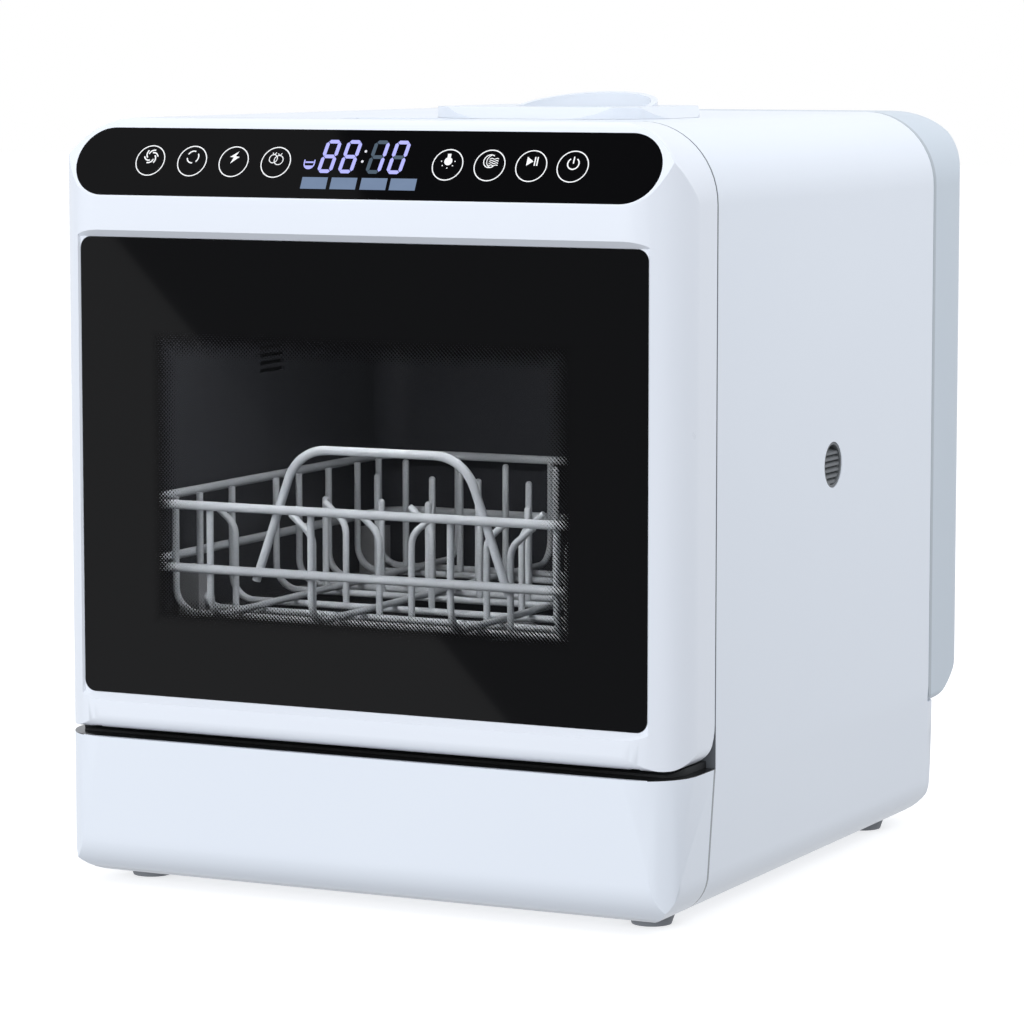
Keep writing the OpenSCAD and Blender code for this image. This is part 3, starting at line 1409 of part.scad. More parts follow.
// Inner door panel: flat sealing land, a deep dish towards the glass, its window and notches for the arms
module door_liner() {
  g = wall + liner_gap;
  lo = [-half_w + g, door_z0 + g];
  hi = [half_w - g, case_h - g];
  color("whitesmoke") difference() {
    union() {
      intersection() {
        along_y(land_y - liner_t, land_y) polygon(door_front_view(g));
        door_block(wall + liner_gap);
      }
      along_y(dish_y - liner_t, land_y - 1)
        polygon(centred(dish_x + liner_t, dish_z0 - liner_t, dish_z1 + liner_t, tub_r + liner_t));
      along_y(land_y - liner_t - 1, land_y + 1.6) difference() {
        polygon(centred(dish_x + 3, dish_z0 - 3, dish_z1 + 3, tub_r + 3));
        polygon(centred(dish_x + 1, dish_z0 - 1, dish_z1 + 1, tub_r + 1));
      }
    }
    along_y(dish_y, land_y + 5) polygon(centred(dish_x, dish_z0, dish_z1, tub_r));
    along_y(dish_y - liner_t - 1, dish_y + 1) polygon(
      centred(window_w / 2 + 3, window_z0 - 3, window_z1 + 3, 10));
    both_sides(hinge_x)
      block([-arm_room, land_y - 8, door_z0], [arm_room, land_y + 1, door_z0 + 5.9]);
    seal_room(hinge_z);
    at_liner_screws() translate([0, 1, 0]) rotate([90, 0, 0]) cylinder(h = 20, r = screw_r + seat);
  }
}

pane_t = 3;

module inner_glass() {
  color([0.8, 0.9, 1, 0.4]) along_y(dish_y - liner_t - seat - pane_t, dish_y - liner_t - seat) polygon(
    centred(window_w / 2 + 12, window_z0 - 12, window_z1 + 12, 12));
}

module liner_screws() {
  color("silver") at_liner_screws() translate([0, seat, 0]) rotate([90, 0, 0]) screw(14);
}

// ---------- rack ----------

rack_y0 = front + rack_front;
rack_y1 = tub_rear - rack_rear;
rack_d = rack_y1 - rack_y0;
weld = 0.1;
in_rail = rail_r + wire_r + weld;
rail_corner = 25;
foot_bend = 16;
rack_mid_y = (rack_y0 + rack_y1) / 2;
post_end = rail_z - 1;
cross_y = [45, 75, 116, 174, 205, rack_d - 102, rack_d - 61, rack_d - 30];
long_x = [-rack_x + 53, -47.5, 47.5, rack_x - 53];
hook_lean = 50;
hook_bend = 14;
hook_rise = 44;
hook_tip = 14;
long_z = floor_z + 2 * wire_r + weld;
tine_z = floor_z + wire_r + weld;

// One closed rail with rounded corners at height z
module rail_loop(z) {
  x = rack_x - rail_corner;
  ya = rack_y0 + rail_corner;
  yb = rack_y1 - rail_corner;
  union() {
    for (side = [-1, 1]) rod([side * rack_x, ya, z], [side * rack_x, yb, z], rail_r);
    for (y = [rack_y0, rack_y1]) rod([-x, y, z], [x, y, z], rail_r);
    bend_xy([x, yb, z], rail_corner, 0, 90, rail_r);
    bend_xy([-x, yb, z], rail_corner, 90, 90, rail_r);
    bend_xy([-x, ya, z], rail_corner, 180, 90, rail_r);
    bend_xy([x, ya, z], rail_corner, 270, 90, rail_r);
  }
}

module rack_rails() {
  color("gainsboro") for (z = [mid_rail_z, rail_z]) rail_loop(z);
}

// Wires that run across the floor and up both sides
module rack_cross_wires() {
  x = rack_x - in_rail;
  color("gainsboro") for (y = cross_y) translate([0, rack_y0 + y, 0]) union() {
    for (side = [-1, 1]) rod([side * x, 0, floor_z + foot_bend], [side * x, 0, post_end], wire_r);
    rod([-x + foot_bend, 0, floor_z], [x - foot_bend, 0, floor_z], wire_r);
    bend_xz([-x + foot_bend, 0, floor_z + foot_bend], foot_bend, 180, 90, wire_r);
    bend_xz([x - foot_bend, 0, floor_z + foot_bend], foot_bend, 270, 90, wire_r);
  }
}

// Wires that run from front to rear over the cross wires, and up both ends
module rack_long_wires() {
  ya = rack_y0 + in_rail;
  yb = rack_y1 - in_rail;
  color("gainsboro") for (x = long_x) translate([x, 0, 0]) union() {
    for (y = [ya, yb]) rod([0, y, long_z + foot_bend], [0, y, post_end], wire_r);
    rod([0, ya + foot_bend, long_z], [0, yb - foot_bend, long_z], wire_r);
    bend_yz([0, ya + foot_bend, long_z + foot_bend], foot_bend, 180, 90, wire_r);
    bend_yz([0, yb - foot_bend, long_z + foot_bend], foot_bend, 270, 90, wire_r);
  }
}

handle_foot = 86;
handle_top = 56.5;
handle_low = mid_rail_z - 6;
handle_bend = 28;
slip = 0.5;
skin = 0.1;

// Loop handle behind the front rails: sloping legs and a rounded top bar
module rack_handle() {
  y = rack_y0 + 2 * rail_r + weld;
  rise = handle_z - handle_low;
  lean = atan2(handle_foot - handle_top, rise);
  cut = handle_bend * tan((90 - lean) / 2);
  grip = handle_top - cut;
  leg_x = handle_top + cut * sin(lean);
  leg_z = handle_z - cut * cos(lean);
  color("gainsboro") union() {
    rod([-grip - slip, y, handle_z], [grip + slip, y, handle_z], rail_r - skin);
    for (side = [-1, 1]) rod([side * handle_foot, y, handle_low],
      [side * (leg_x - slip * sin(lean)), y, leg_z + slip * cos(lean)], rail_r - skin);
    bend_xz([-grip, y, handle_z - handle_bend], handle_bend, 90, 90 - lean, rail_r);
    bend_xz([grip, y, handle_z - handle_bend], handle_bend, lean, 90 - lean, rail_r);
  }
}

// Straight tines welded on the cross wires: x, place of the cross wire and height
tine_rows = [[3, 58], [5, 66], [6, 72]];
tine_x = [-rack_x + 42, -88, -54, -17, 17, 60, rack_x - 66];

module plate_tines() {
  color("gainsboro") for (row = tine_rows, x = tine_x)
    translate([x, rack_y0 + cross_y[row[0]], tine_z]) union() {
      cylinder(h = row[1], r = wire_r);
      translate([0, 0, row[1]]) sphere(wire_r * 1.02);
    }
}

// Cup hooks: x, place of the cross wire, side they lean to
outer_hook = rack_x - 31;
hooks = [[-68, 0, -1], [68, 0, 1], [-outer_hook, 1, -1], [-37.5, 1, -1], [-15, 1, 1], [37, 1, 1], [92, 1, 1],
  [outer_hook, 1, 1], [-83, 2, -1], [-22, 2, -1], [41, 2, 1], [98, 2, 1]];

module cup_hooks() {
  color("gainsboro") for (h = hooks)
    translate([h[0], rack_y0 + cross_y[h[1]], tine_z]) rotate([0, 0, h[2] < 0 ? 180 : 0]) union() {
      cylinder(h = hook_rise + slip, r = wire_r - skin);
      bend_xz([hook_bend, 0, hook_rise], hook_bend, 180 - hook_lean, hook_lean, wire_r);
      translate([hook_bend - hook_bend * cos(hook_lean), 0, hook_rise + hook_bend * sin(hook_lean)])
        rotate([0, hook_lean, 0]) translate([0, 0, -slip]) cylinder(h = hook_tip, r = wire_r - skin);
    }
}

runner_y = [1, 7];
runner_end = 6.5;

// Plastic runners clipped round the cross wires, sliding on the tub's ledges
module rack_runners() {
  x = rack_x - in_rail;
  color("white") for (side = [-1, 1], k = runner_y)
    translate([side * x, rack_y0 + cross_y[k], 0]) difference() {
      block([side > 0 ? -4 : -(tub_w / 2 - x - runner_end), -9, ledge_z + 0.25],
        [side > 0 ? tub_w / 2 - x - runner_end : 4, 9, floor_z + foot_bend + 10]);
      cross_clear(side);
    }
}

// Room for the cross wire that a runner is clipped on
module cross_clear(side) {
  r = wire_r + 0.02;
  rod([0, 0, floor_z + foot_bend], [0, 0, floor_z + foot_bend + 12], r);
  translate([-side * foot_bend, 0, floor_z + foot_bend]) rotate([90, 0, 0]) rotate([0, 0, side > 0 ? 270 : 180])
    rotate_extrude(angle = 90) translate([foot_bend, 0]) circle(r);
}

outer_shell();
base_pan();
rubber_feet();
case_screws();
rear_cover();
rear_cover_screws();
fill_collar();
fill_strainer();
fill_duct();
water_tank();
tank_hose();
vent_grille();
exhaust_duct();
tub();
door_seal();
hinge_brackets();
slot_strip();
door_lock();
lamp_lens();
lamp_board();
sump();
filter_plate();
filter_cup();
heater();
wash_pump_case();
wash_pump_wheel();
wash_pump_motor();
feed_pipe();
lower_arm_post();
lower_spray_arm();
lower_arm_cap();
upper_arm_post();
upper_spray_arm();
upper_arm_cap();
drain_pump();
drain_pump_wheel();
drain_hose();
drain_spigot();
inlet_valve();
cord_gland();
power_board();
fan_case();
fan_wheel();
door_frame();
door_glass();
door_liner();
inner_glass();
control_strip();
touch_board();
display_module();
liner_screws();
hinge_pins();
door_hook();
rack_rails();
rack_cross_wires();
rack_long_wires();
rack_handle();
plate_tines();
cup_hooks();
rack_runners();
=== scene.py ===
import math

import bpy
import numpy as np
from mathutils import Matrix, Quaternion, Vector


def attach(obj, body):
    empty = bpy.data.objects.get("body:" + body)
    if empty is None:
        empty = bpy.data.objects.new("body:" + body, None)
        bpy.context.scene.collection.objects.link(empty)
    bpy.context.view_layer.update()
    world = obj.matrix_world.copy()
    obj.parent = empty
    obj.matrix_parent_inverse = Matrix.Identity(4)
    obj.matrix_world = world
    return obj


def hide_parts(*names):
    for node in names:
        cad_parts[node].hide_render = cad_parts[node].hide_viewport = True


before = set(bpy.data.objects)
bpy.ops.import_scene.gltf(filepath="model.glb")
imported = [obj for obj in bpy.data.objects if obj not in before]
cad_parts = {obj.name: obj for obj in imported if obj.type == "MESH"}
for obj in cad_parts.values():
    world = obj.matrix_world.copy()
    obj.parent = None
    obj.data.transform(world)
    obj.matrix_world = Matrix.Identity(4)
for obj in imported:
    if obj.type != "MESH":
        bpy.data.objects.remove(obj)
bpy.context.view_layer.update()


# Rubber feet: four soft grey pucks pushed into the base from below.
# The rubber is matt, with a fine grain and a little dust round the rim.
class Value:
    """One value inside a surface's nodes.
    Arithmetic on it lays a maths node and gives back that node's result."""

    def __init__(self, finish, socket):
        self.finish = finish
        self.socket = socket

    def maths(self, operation, *values):
        node = self.finish.node("ShaderNodeMath", operation=operation)
        for socket, value in zip(node.inputs, values):
            self.finish.feed(socket, value)
        return Value(self.finish, node.outputs[0])

    def __add__(self, other):
        return self.maths("ADD", self, other)

    def __radd__(self, other):
        return self.maths("ADD", other, self)

    def __sub__(self, other):
        return self.maths("SUBTRACT", self, other)

    def __rsub__(self, other):
        return self.maths("SUBTRACT", other, self)

    def __mul__(self, other):
        return self.maths("MULTIPLY", self, other)

    def __rmul__(self, other):
        return self.maths("MULTIPLY", other, self)

    def __truediv__(self, other):
        return self.maths("DIVIDE", self, other)

    def __rtruediv__(self, other):
        return self.maths("DIVIDE", other, self)

    def __pow__(self, other):
        return self.maths("POWER", self, other)

    def __abs__(self):
        return self.maths("ABSOLUTE", self)

    def __mod__(self, other):
        return self.maths("FLOORED_MODULO", self, other)

    def __gt__(self, other):
        return self.maths("GREATER_THAN", self, other)

    def __lt__(self, other):
        return self.maths("LESS_THAN", self, other)

    def least(self, other):
        return self.maths("MINIMUM", self, other)

    def rise(self, low, high):
        """0 below low, 1 above high and a straight ramp between them."""
        limits = {"From Min": low, "From Max": high, "Value": self}
        return Value(self.finish, self.finish.node("ShaderNodeMapRange", limits).outputs[0])


class Finish:
    """A surface: one Principled shader, its plain settings given by name, and the nodes that vary the rest.
    x, y and z are the object's own coordinates in metres."""

    def __init__(self, name, **settings):
        self.material = bpy.data.materials.new(name)
        self.material.use_nodes = True
        self.tree = self.material.node_tree
        self.shader = self.tree.nodes["Principled BSDF"]
        place = self.node("ShaderNodeTexCoord")
        self.place = Value(self, place.outputs["Object"])
        axes = self.node("ShaderNodeSeparateXYZ", {"Vector": self.place})
        self.x, self.y, self.z = (Value(self, axes.outputs[k]) for k in "XYZ")
        self.set(**settings)

    def node(self, kind, feeds=None, **properties):
        node = self.tree.nodes.new(kind)
        for key, value in properties.items():
            setattr(node, key, value)
        for key, value in (feeds or {}).items():
            self.feed(node.inputs[key], value)
        return node

    def feed(self, socket, value):
        if isinstance(value, Value):
            self.tree.links.new(value.socket, socket)
        else:
            socket.default_value = value

    def set(self, **settings):
        sockets = {s.name.lower(): s for s in self.shader.inputs}
        for key, value in settings.items():
            if isinstance(value, tuple) and len(value) == 3:
                value = (*value, 1)
            self.feed(sockets[key.replace("_", " ")], value)

    def noise(self, scale, detail=3, rough=0.5, stretch=(1, 1, 1)):
        """Cloudy noise from 0 to 1, scale patches to the metre, drawn out along the axes by stretch."""
        spread = self.node("ShaderNodeMapping", {"Vector": self.place, "Scale": stretch})
        node = self.node("ShaderNodeTexNoise", {
            "Vector": Value(self, spread.outputs[0]), "Scale": scale, "Detail": detail, "Roughness": rough})
        return Value(self, node.outputs[0])

    def mix(self, factor, first, second):
        """first where factor is 0, second where it is 1; both are colours."""
        node = self.node("ShaderNodeMix", data_type="RGBA")
        self.feed(node.inputs[0], factor)
        for socket, colour in zip(node.inputs[6:8], (first, second)):
            self.feed(socket, colour if isinstance(colour, Value) else (*colour, 1))
        return Value(self, node.outputs[2])

    def bump(self, height, depth, strength=1.0):
        """Raises the surface by height times depth, in metres."""
        node = self.node("ShaderNodeBump", {"Height": height, "Distance": depth, "Strength": strength})
        self.set(normal=Value(self, node.outputs[0]))

    def coat(self, *nodes):
        """Puts this finish on CAD nodes."""
        for name in nodes:
            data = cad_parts[name].data
            data.materials.clear()
            data.materials.append(self.material)


def solid(name, points, faces, finish, body, smooth=True):
    """A mesh from numpy points and faces, finished, named and put on its body."""
    mesh = bpy.data.meshes.new(name)
    mesh.from_pydata(np.asarray(points, float).tolist(), [], np.asarray(faces, object).tolist())
    mesh.polygons.foreach_set("use_smooth", np.full(len(mesh.polygons), smooth))
    mesh.materials.append(finish.material)
    mesh.validate()
    mesh.update()
    piece = bpy.data.objects.new(name, mesh)
    bpy.context.scene.collection.objects.link(piece)
    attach(piece, body)
    return piece


joint_grid = 0.00001


def skin(node, finish, body, crease=34):
    """A CAD node's own surface with its loose triangles joined, so that light runs smoothly over its rounds.
    Corners that fall in one cell of a grid of joint_grid metres become one, and edges that turn more than
    crease degrees stay sharp; normals are weighted by the area of the faces, so that flats stay flat."""
    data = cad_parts[node].data
    corners = np.empty(len(data.vertices) * 3)
    data.vertices.foreach_get("co", corners)
    ring = np.empty(len(data.loops), np.int32)
    data.loops.foreach_get("vertex_index", ring)
    grid = np.round(corners.reshape(-1, 3) / joint_grid).astype(np.int64)
    _, first, joined = np.unique(grid, axis=0, return_index=True, return_inverse=True)
    faces = joined.reshape(-1)[ring.reshape(-1, 3)]
    whole = (faces[:, 0] != faces[:, 1]) & (faces[:, 1] != faces[:, 2]) & (faces[:, 2] != faces[:, 0])
    piece = solid(node + "_skin", corners.reshape(-1, 3)[first], faces[whole], finish, body)
    piece.data.set_sharp_from_angle(angle=math.radians(crease))
    even = piece.modifiers.new("even_shading", "WEIGHTED_NORMAL")
    even.keep_sharp = True
    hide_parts(node)
    return piece


feet_rubber = Finish("feet_rubber", specular_ior_level=0.35)
dust_and_end_light = feet_rubber.noise(90, 4).rise(0.5, 0.75) * 0.35
feet_rubber.set(base_color=feet_rubber.mix(dust_and_end_light, (0.27, 0.28, 0.30), (0.36, 0.37, 0.39)),
                roughness=feet_rubber.noise(400) * 0.2 + 0.6)
feet_rubber.bump(feet_rubber.noise(2600), 0.00005)
skin("rubber_feet", feet_rubber, "case")

# Base pan: the matt white floor tray screwed up under the case, with its intake slots.
# Spark-eroded moulding texture all over.
pan_white = Finish("pan_white", specular_ior_level=0.3)
pan_white.set(base_color=pan_white.mix(pan_white.noise(20), (0.70, 0.73, 0.78), (0.75, 0.77, 0.81)),
              roughness=pan_white.noise(120) * 0.15 + 0.5)
pan_white.bump(pan_white.noise(1500), 0.00004)
pan_white.coat("base_pan")

# Sump, pipes, ducts, pump case and wheels, inlet and outlet: natural plastic, moulded and clamped together
# in the base and behind the tub. Milky and slightly waxy, with slow clouds and a fine grain.
natural = Finish("natural", specular_ior_level=0.45, subsurface_weight=0.05)
natural.set(base_color=natural.mix(natural.noise(25), (0.62, 0.63, 0.62), (0.70, 0.71, 0.70)),
            roughness=natural.noise(150) * 0.15 + 0.36)
natural.bump(natural.noise(1100), 0.00003)
natural.coat("sump", "feed_pipe", "fill_duct", "exhaust_duct", "wash_pump_case", "wash_pump_wheel",
             "drain_pump_wheel", "inlet_valve", "drain_spigot", "display_module")

# Motors, drain pump, fan, lock and hook: dark engineering plastic, screwed or clipped in place.
# Nearly black, with a light sheen and a coarse moulding grain.
dark = Finish("dark_plastic", specular_ior_level=0.4)
dark.set(base_color=dark.mix(dark.noise(50), (0.035, 0.037, 0.04), (0.06, 0.062, 0.066)),
         roughness=dark.noise(300) * 0.2 + 0.42)
dark.bump(dark.noise(1000), 0.00004)
dark.coat("wash_pump_motor", "drain_pump", "fan_case", "fan_wheel", "door_lock", "door_hook")

# Hoses and cord bushing: black extruded rubber pushed over the spigots.
# Dull, with fine lengthwise marks of the die.
hose_rubber = Finish("hose_rubber", specular_ior_level=0.3)
die = hose_rubber.noise(400, 2, stretch=(1, 0.1, 1))
hose_rubber.set(base_color=hose_rubber.mix(die, (0.018, 0.018, 0.02), (0.035, 0.035, 0.037)),
                roughness=die * 0.2 + 0.55)
hose_rubber.bump(die, 0.00003)
hose_rubber.coat("tank_hose", "drain_hose", "cord_gland")

# Circuit boards: green laminate with a masked copper pattern, in the base, the lamp and behind the strip.
# Tracks show as slightly raised darker bands.
laminate = Finish("laminate", specular_ior_level=0.5, roughness=0.4)
tracks = laminate.noise(700, 1, stretch=(1, 0.3, 1)) > 0.55
laminate.set(base_color=laminate.mix(tracks, (0.02, 0.16, 0.07), (0.012, 0.10, 0.045)))
laminate.bump(tracks, 0.00003)
laminate.coat("power_board", "lamp_board", "touch_board")

# Heater jacket, filter plate and strainer: pressed stainless steel.
# Brushed in one direction.
stainless = Finish("stainless", metallic=1.0)
brush = stainless.noise(500, 2, stretch=(1, 0.04, 1))
stainless.set(base_color=stainless.mix(brush, (0.60, 0.61, 0.62), (0.72, 0.73, 0.74)),
              roughness=brush * 0.2 + 0.22)
stainless.bump(brush, 0.00001)
stainless.coat("filter_plate", "fill_strainer", "heater")

# Tub: one deep moulding of dark grey heat-resistant plastic, seen through the window.
# The walls have a soft sheen, a fine grain and faint dried water marks that run down.
tub_grey = Finish("tub_grey", specular_ior_level=0.35)
marks = tub_grey.noise(30, 4, stretch=(1, 1, 0.15)).rise(0.55, 0.8)
tub_grey.set(base_color=tub_grey.mix(tub_grey.noise(12), (0.055, 0.057, 0.066), (0.067, 0.070, 0.080)),
             roughness=marks * 0.12 + 0.42)
tub_grey.bump(tub_grey.noise(900, 2), 0.00001)
skin("tub", tub_grey, "case")

# Door seal: extruded grey silicone pushed on the tub's rim.
# Soft looking, with a dusty bloom.
silicone = Finish("silicone", specular_ior_level=0.35)
silicone.set(base_color=silicone.mix(silicone.noise(40), (0.14, 0.145, 0.155), (0.19, 0.195, 0.205)),
             roughness=silicone.noise(200) * 0.2 + 0.5)
silicone.bump(silicone.noise(1200), 0.00003)
silicone.coat("door_seal")

# Spray arms with their posts, caps and the filter cup: glass-filled plastic, snapped on and free to turn.
# Mid grey with a dull sheen and a flowing grain along the blades.
arm_grey = Finish("arm_grey", specular_ior_level=0.45)
flow = arm_grey.noise(60, 4, stretch=(1, 0.2, 1))
arm_grey.set(base_color=arm_grey.mix(flow, (0.20, 0.21, 0.23), (0.26, 0.27, 0.29)),
             roughness=flow * 0.15 + 0.38)
arm_grey.bump(arm_grey.noise(1300), 0.00003)
arm_grey.coat("lower_spray_arm", "upper_spray_arm", "lower_arm_post", "upper_arm_post", "lower_arm_cap",
              "upper_arm_cap", "filter_cup")

# Water tank and lamp lens: blown frosted plastic that lets light through.
# Thin walls show as a soft haze with vertical flow lines.
frost = Finish("frosted_plastic", transmission_weight=0.5, ior=1.45)
haze = frost.noise(40, 3, stretch=(1, 1, 0.1))
frost.set(base_color=frost.mix(haze, (0.72, 0.80, 0.86), (0.82, 0.88, 0.92)), roughness=haze * 0.2 + 0.3)
frost.coat("water_tank", "lamp_lens")

# Case and filling collar: injection-moulded glossy white, the collar snapped down into the top.
# The white leans to blue; painted shade darkens the seam behind the door, and a painted shadow turns the sill
# under it near black.
case_white = Finish("case_white", coat_weight=0.3, coat_roughness=0.12, specular_ior_level=0.3)
seam, seam_front, seam_back, seam_shade = -0.181, 0.002, 0.0005, (0.10, 0.11, 0.12)
apron_top, sill_skin, sill_deep, sill_shade = 0.0945, 0.0004, 0.0555, (0.012, 0.012, 0.013)
cloud = case_white.noise(7, 2)
# Painted shade: a dark band where the door meets the case, and near black on the sill in the slot under the
# door, where shadow falls.
painted_seam_shadow = (case_white.y < seam + seam_back) * (case_white.y > seam - seam_front)
painted_sill_shadow = (case_white.z > apron_top - sill_skin) * (case_white.y < seam) * (case_white.y > seam - sill_deep)
white = case_white.mix(cloud, (0.815, 0.86, 0.935), (0.835, 0.88, 0.95))
white = case_white.mix(painted_seam_shadow * 0.75, white, seam_shade)
case_white.set(base_color=case_white.mix(painted_sill_shadow, white, sill_shade),
               roughness=case_white.noise(30, 4) * 0.1 + 0.26)
case_white.bump(case_white.noise(260, 2), 0.00002, 0.5)
skin("outer_shell", case_white, "case")
# Painted shade: the collar's white is set darker and bluer than the case's, though it is the same white
# plastic.
collar_white_painted_shade = Finish("collar_white_painted_shade", coat_weight=0.3, coat_roughness=0.12, specular_ior_level=0.3)
cloud = collar_white_painted_shade.noise(20, 2)
collar_white_painted_shade.set(base_color=collar_white_painted_shade.mix(cloud, (0.76, 0.80, 0.86), (0.78, 0.82, 0.88)),
                 roughness=collar_white_painted_shade.noise(60, 4) * 0.1 + 0.26)
collar_white_painted_shade.bump(collar_white_painted_shade.noise(400, 2), 0.00002, 0.5)
skin("fill_collar", collar_white_painted_shade, "case")

# Rear cover: a second white moulding, screwed to the case from behind, its white set darker and greyer than
# the case's, and less glossy.
# Its texture is a little coarser, as on the side that faces a wall.
cover_white = Finish("cover_white", coat_weight=0.15, coat_roughness=0.2, specular_ior_level=0.3)
cover_seam, cover_seam_wide = 0.1805, 0.0004
white = cover_white.mix(cover_white.noise(7, 2), (0.60, 0.665, 0.735), (0.62, 0.685, 0.75))
# Painted shade: the cover's front edge is darkened along the seam with the case.
painted_seam_shadow = cover_white.y < cover_seam + cover_seam_wide
cover_white.set(base_color=cover_white.mix(painted_seam_shadow * 0.3, white, seam_shade),
                roughness=cover_white.noise(40, 4) * 0.12 + 0.34)
cover_white.bump(cover_white.noise(500, 2), 0.00002, 0.6)
skin("rear_cover", cover_white, "case")

# Screws, hinge arms and pins: zinc-plated steel, rolled or turned.
# The plating is cloudy and slightly yellow, with fine drawing lines across it.
zinc = Finish("zinc", metallic=1.0)
lines = zinc.noise(300, 2, stretch=(1, 8, 8))
zinc.set(base_color=zinc.mix(zinc.noise(60), (0.62, 0.62, 0.60), (0.74, 0.73, 0.70)),
         roughness=lines * 0.2 + 0.28)
zinc.bump(lines, 0.00002)
zinc.coat("case_screws", "rear_cover_screws", "liner_screws", "hinge_brackets", "hinge_pins")

# Side vent: a round dark grey plug with slanted fins pressed into the right side.
# Matt plastic with light dust in the fins.
vent_grey = Finish("vent_grey", specular_ior_level=0.3)
vent_grey.set(base_color=vent_grey.mix(vent_grey.noise(240, 4), (0.16, 0.17, 0.18), (0.21, 0.22, 0.23)),
              roughness=vent_grey.noise(500) * 0.15 + 0.5)
vent_grey.bump(vent_grey.noise(1800), 0.00003)
skin("vent_grille", vent_grey, "case")

# Sill strip: the black rubber strip that lies on the base under the door and closes the slot there.
# Matt, with a faint random tone, and painted light that makes it paler towards the two ends.
sill_black = Finish("sill_black", specular_ior_level=0.3)
end_light_start, end_light_full = 0.150, 0.200
# Painted highlight: the strip grows paler towards both ends.
dust_and_end_light = abs(sill_black.x).rise(end_light_start, end_light_full) * 0.6 + sill_black.noise(200) * 0.2
sill_black.set(base_color=sill_black.mix(dust_and_end_light, (0.010, 0.010, 0.010), (0.04, 0.042, 0.045)),
               roughness=sill_black.noise(500) * 0.15 + 0.55)
sill_black.bump(sill_black.noise(1500), 0.00003)
skin("slot_strip", sill_black, "case")

# Door moulding: the same glossy white as the case, in one piece with the rolled edges round the glass.
# Very slow clouds in the colour, a faint ripple in the gloss, and painted shade on the back edge along the
# seam.
door_white = Finish("door_white", coat_weight=0.3, coat_roughness=0.12, specular_ior_level=0.3)
door_edge = 0.0008
cloud = door_white.noise(8, 2)
# Painted shade: the door's back edge is darkened where the seam lies in shadow.
painted_seam_shadow = door_white.y > seam - door_edge
white = door_white.mix(cloud, (0.83, 0.865, 0.935), (0.85, 0.885, 0.95))
door_white.set(base_color=door_white.mix(painted_seam_shadow * 0.75, white, seam_shade),
               roughness=door_white.noise(30, 4) * 0.1 + 0.25)
door_white.bump(door_white.noise(260, 2), 0.00002, 0.5)
skin("door_frame", door_white, "door")

# Inner door panel: a dished grey moulding screwed to the back of the door, with an opening for the window.
# Satin, with a fine even grain.
liner_grey = Finish("liner_grey", specular_ior_level=0.35)
liner_grey.set(base_color=liner_grey.mix(liner_grey.noise(14), (0.032, 0.034, 0.040), (0.040, 0.042, 0.048)),
               roughness=liner_grey.noise(90) * 0.12 + 0.42)
liner_grey.bump(liner_grey.noise(900, 2), 0.00001)
skin("door_liner", liner_grey, "door")

# Inner pane: plain clear glass held behind the liner.
# A faint film of dried water drops.
pane = Finish("inner_pane", roughness=0.02, ior=1.5, base_color=(0.02, 0.022, 0.024),
              specular_ior_level=0.1)
pane.set(alpha=pane.noise(6) * 0.04 + 0.06)
pane.coat("inner_glass")

# Outer glass: tempered pane printed black on its back, glued into the frame, with a clear window.
# Slanting rows of black dots close in round the window's outline and shrink to nothing over fade metres.
glass = Finish("printed_glass", base_color=(0.003, 0.003, 0.0035), roughness=0.03, ior=1.5,
               specular_ior_level=0.42)
window_half, window_low, window_high = 0.1415, 0.1665, 0.3465
fade, dot_pitch, dot_radius, clearness = 0.019, 0.0024, 0.62, 0.86
inside = (window_half - abs(glass.x)).least(glass.z - window_low).least(window_high - glass.z)
column, row = (((glass.x + side * glass.z) / dot_pitch) % 1.0 - 0.5 for side in (1, -1))
from_dot = (column * column + row * row) ** 0.5
clear = (from_dot > (1 - inside.rise(0, fade)) * dot_radius) * (inside > 0)
glass.set(alpha=1 - clear * clearness)
skin("door_glass", glass, "door")

# Control strip: a glossy black stadium of acrylic glued into the tilted face.
# Only the haze of polishing shows on it.
acrylic = Finish("acrylic", base_color=(0.003, 0.003, 0.0035), ior=1.49, specular_ior_level=0.45)
acrylic.set(roughness=acrylic.noise(80, 4) * 0.02 + 0.03)
skin("control_strip", acrylic, "door")

# Key rings: thin rings of white ink round the eight touch keys, screened on the strip.
# Every printed mark lies a hair above the acrylic in the plane of the tilted face.
strip_foot = np.array([0, -0.240, 0.426])
strip_tilt = math.radians(26.6)
up_strip = np.array([0, math.sin(strip_tilt), math.cos(strip_tilt)])
off_strip = np.array([0, -math.cos(strip_tilt), math.sin(strip_tilt)])
strip_middle, ink_lift = 0.0245, 0.00004
key_x = [-0.1439, -0.1147, -0.0859, -0.0570, 0.0580, 0.0854, 0.1124, 0.1390]
key_up, key_radius, ring_half = 0.0007, 0.0098, 0.00033


def print_on_strip(name, parts, finish):
    """Flat parts, each (points, faces) across and up the strip from its middle, laid on it as one piece.
    A point is the strip's foot, plus across along x, plus up and the middle along the slope, plus the ink's
    lift outwards."""
    points, faces, start = [], [], 0
    for flat, loops in parts:
        flat = np.asarray(flat, float)
        points.append(strip_foot + flat[:, :1] * np.array([1, 0, 0])
                      + (flat[:, 1:] + strip_middle) * up_strip + ink_lift * off_strip)
        faces += [tuple(i + start for i in loop) for loop in loops]
        start += len(flat)
    return solid(name, np.concatenate(points), faces, finish, "door", smooth=False)


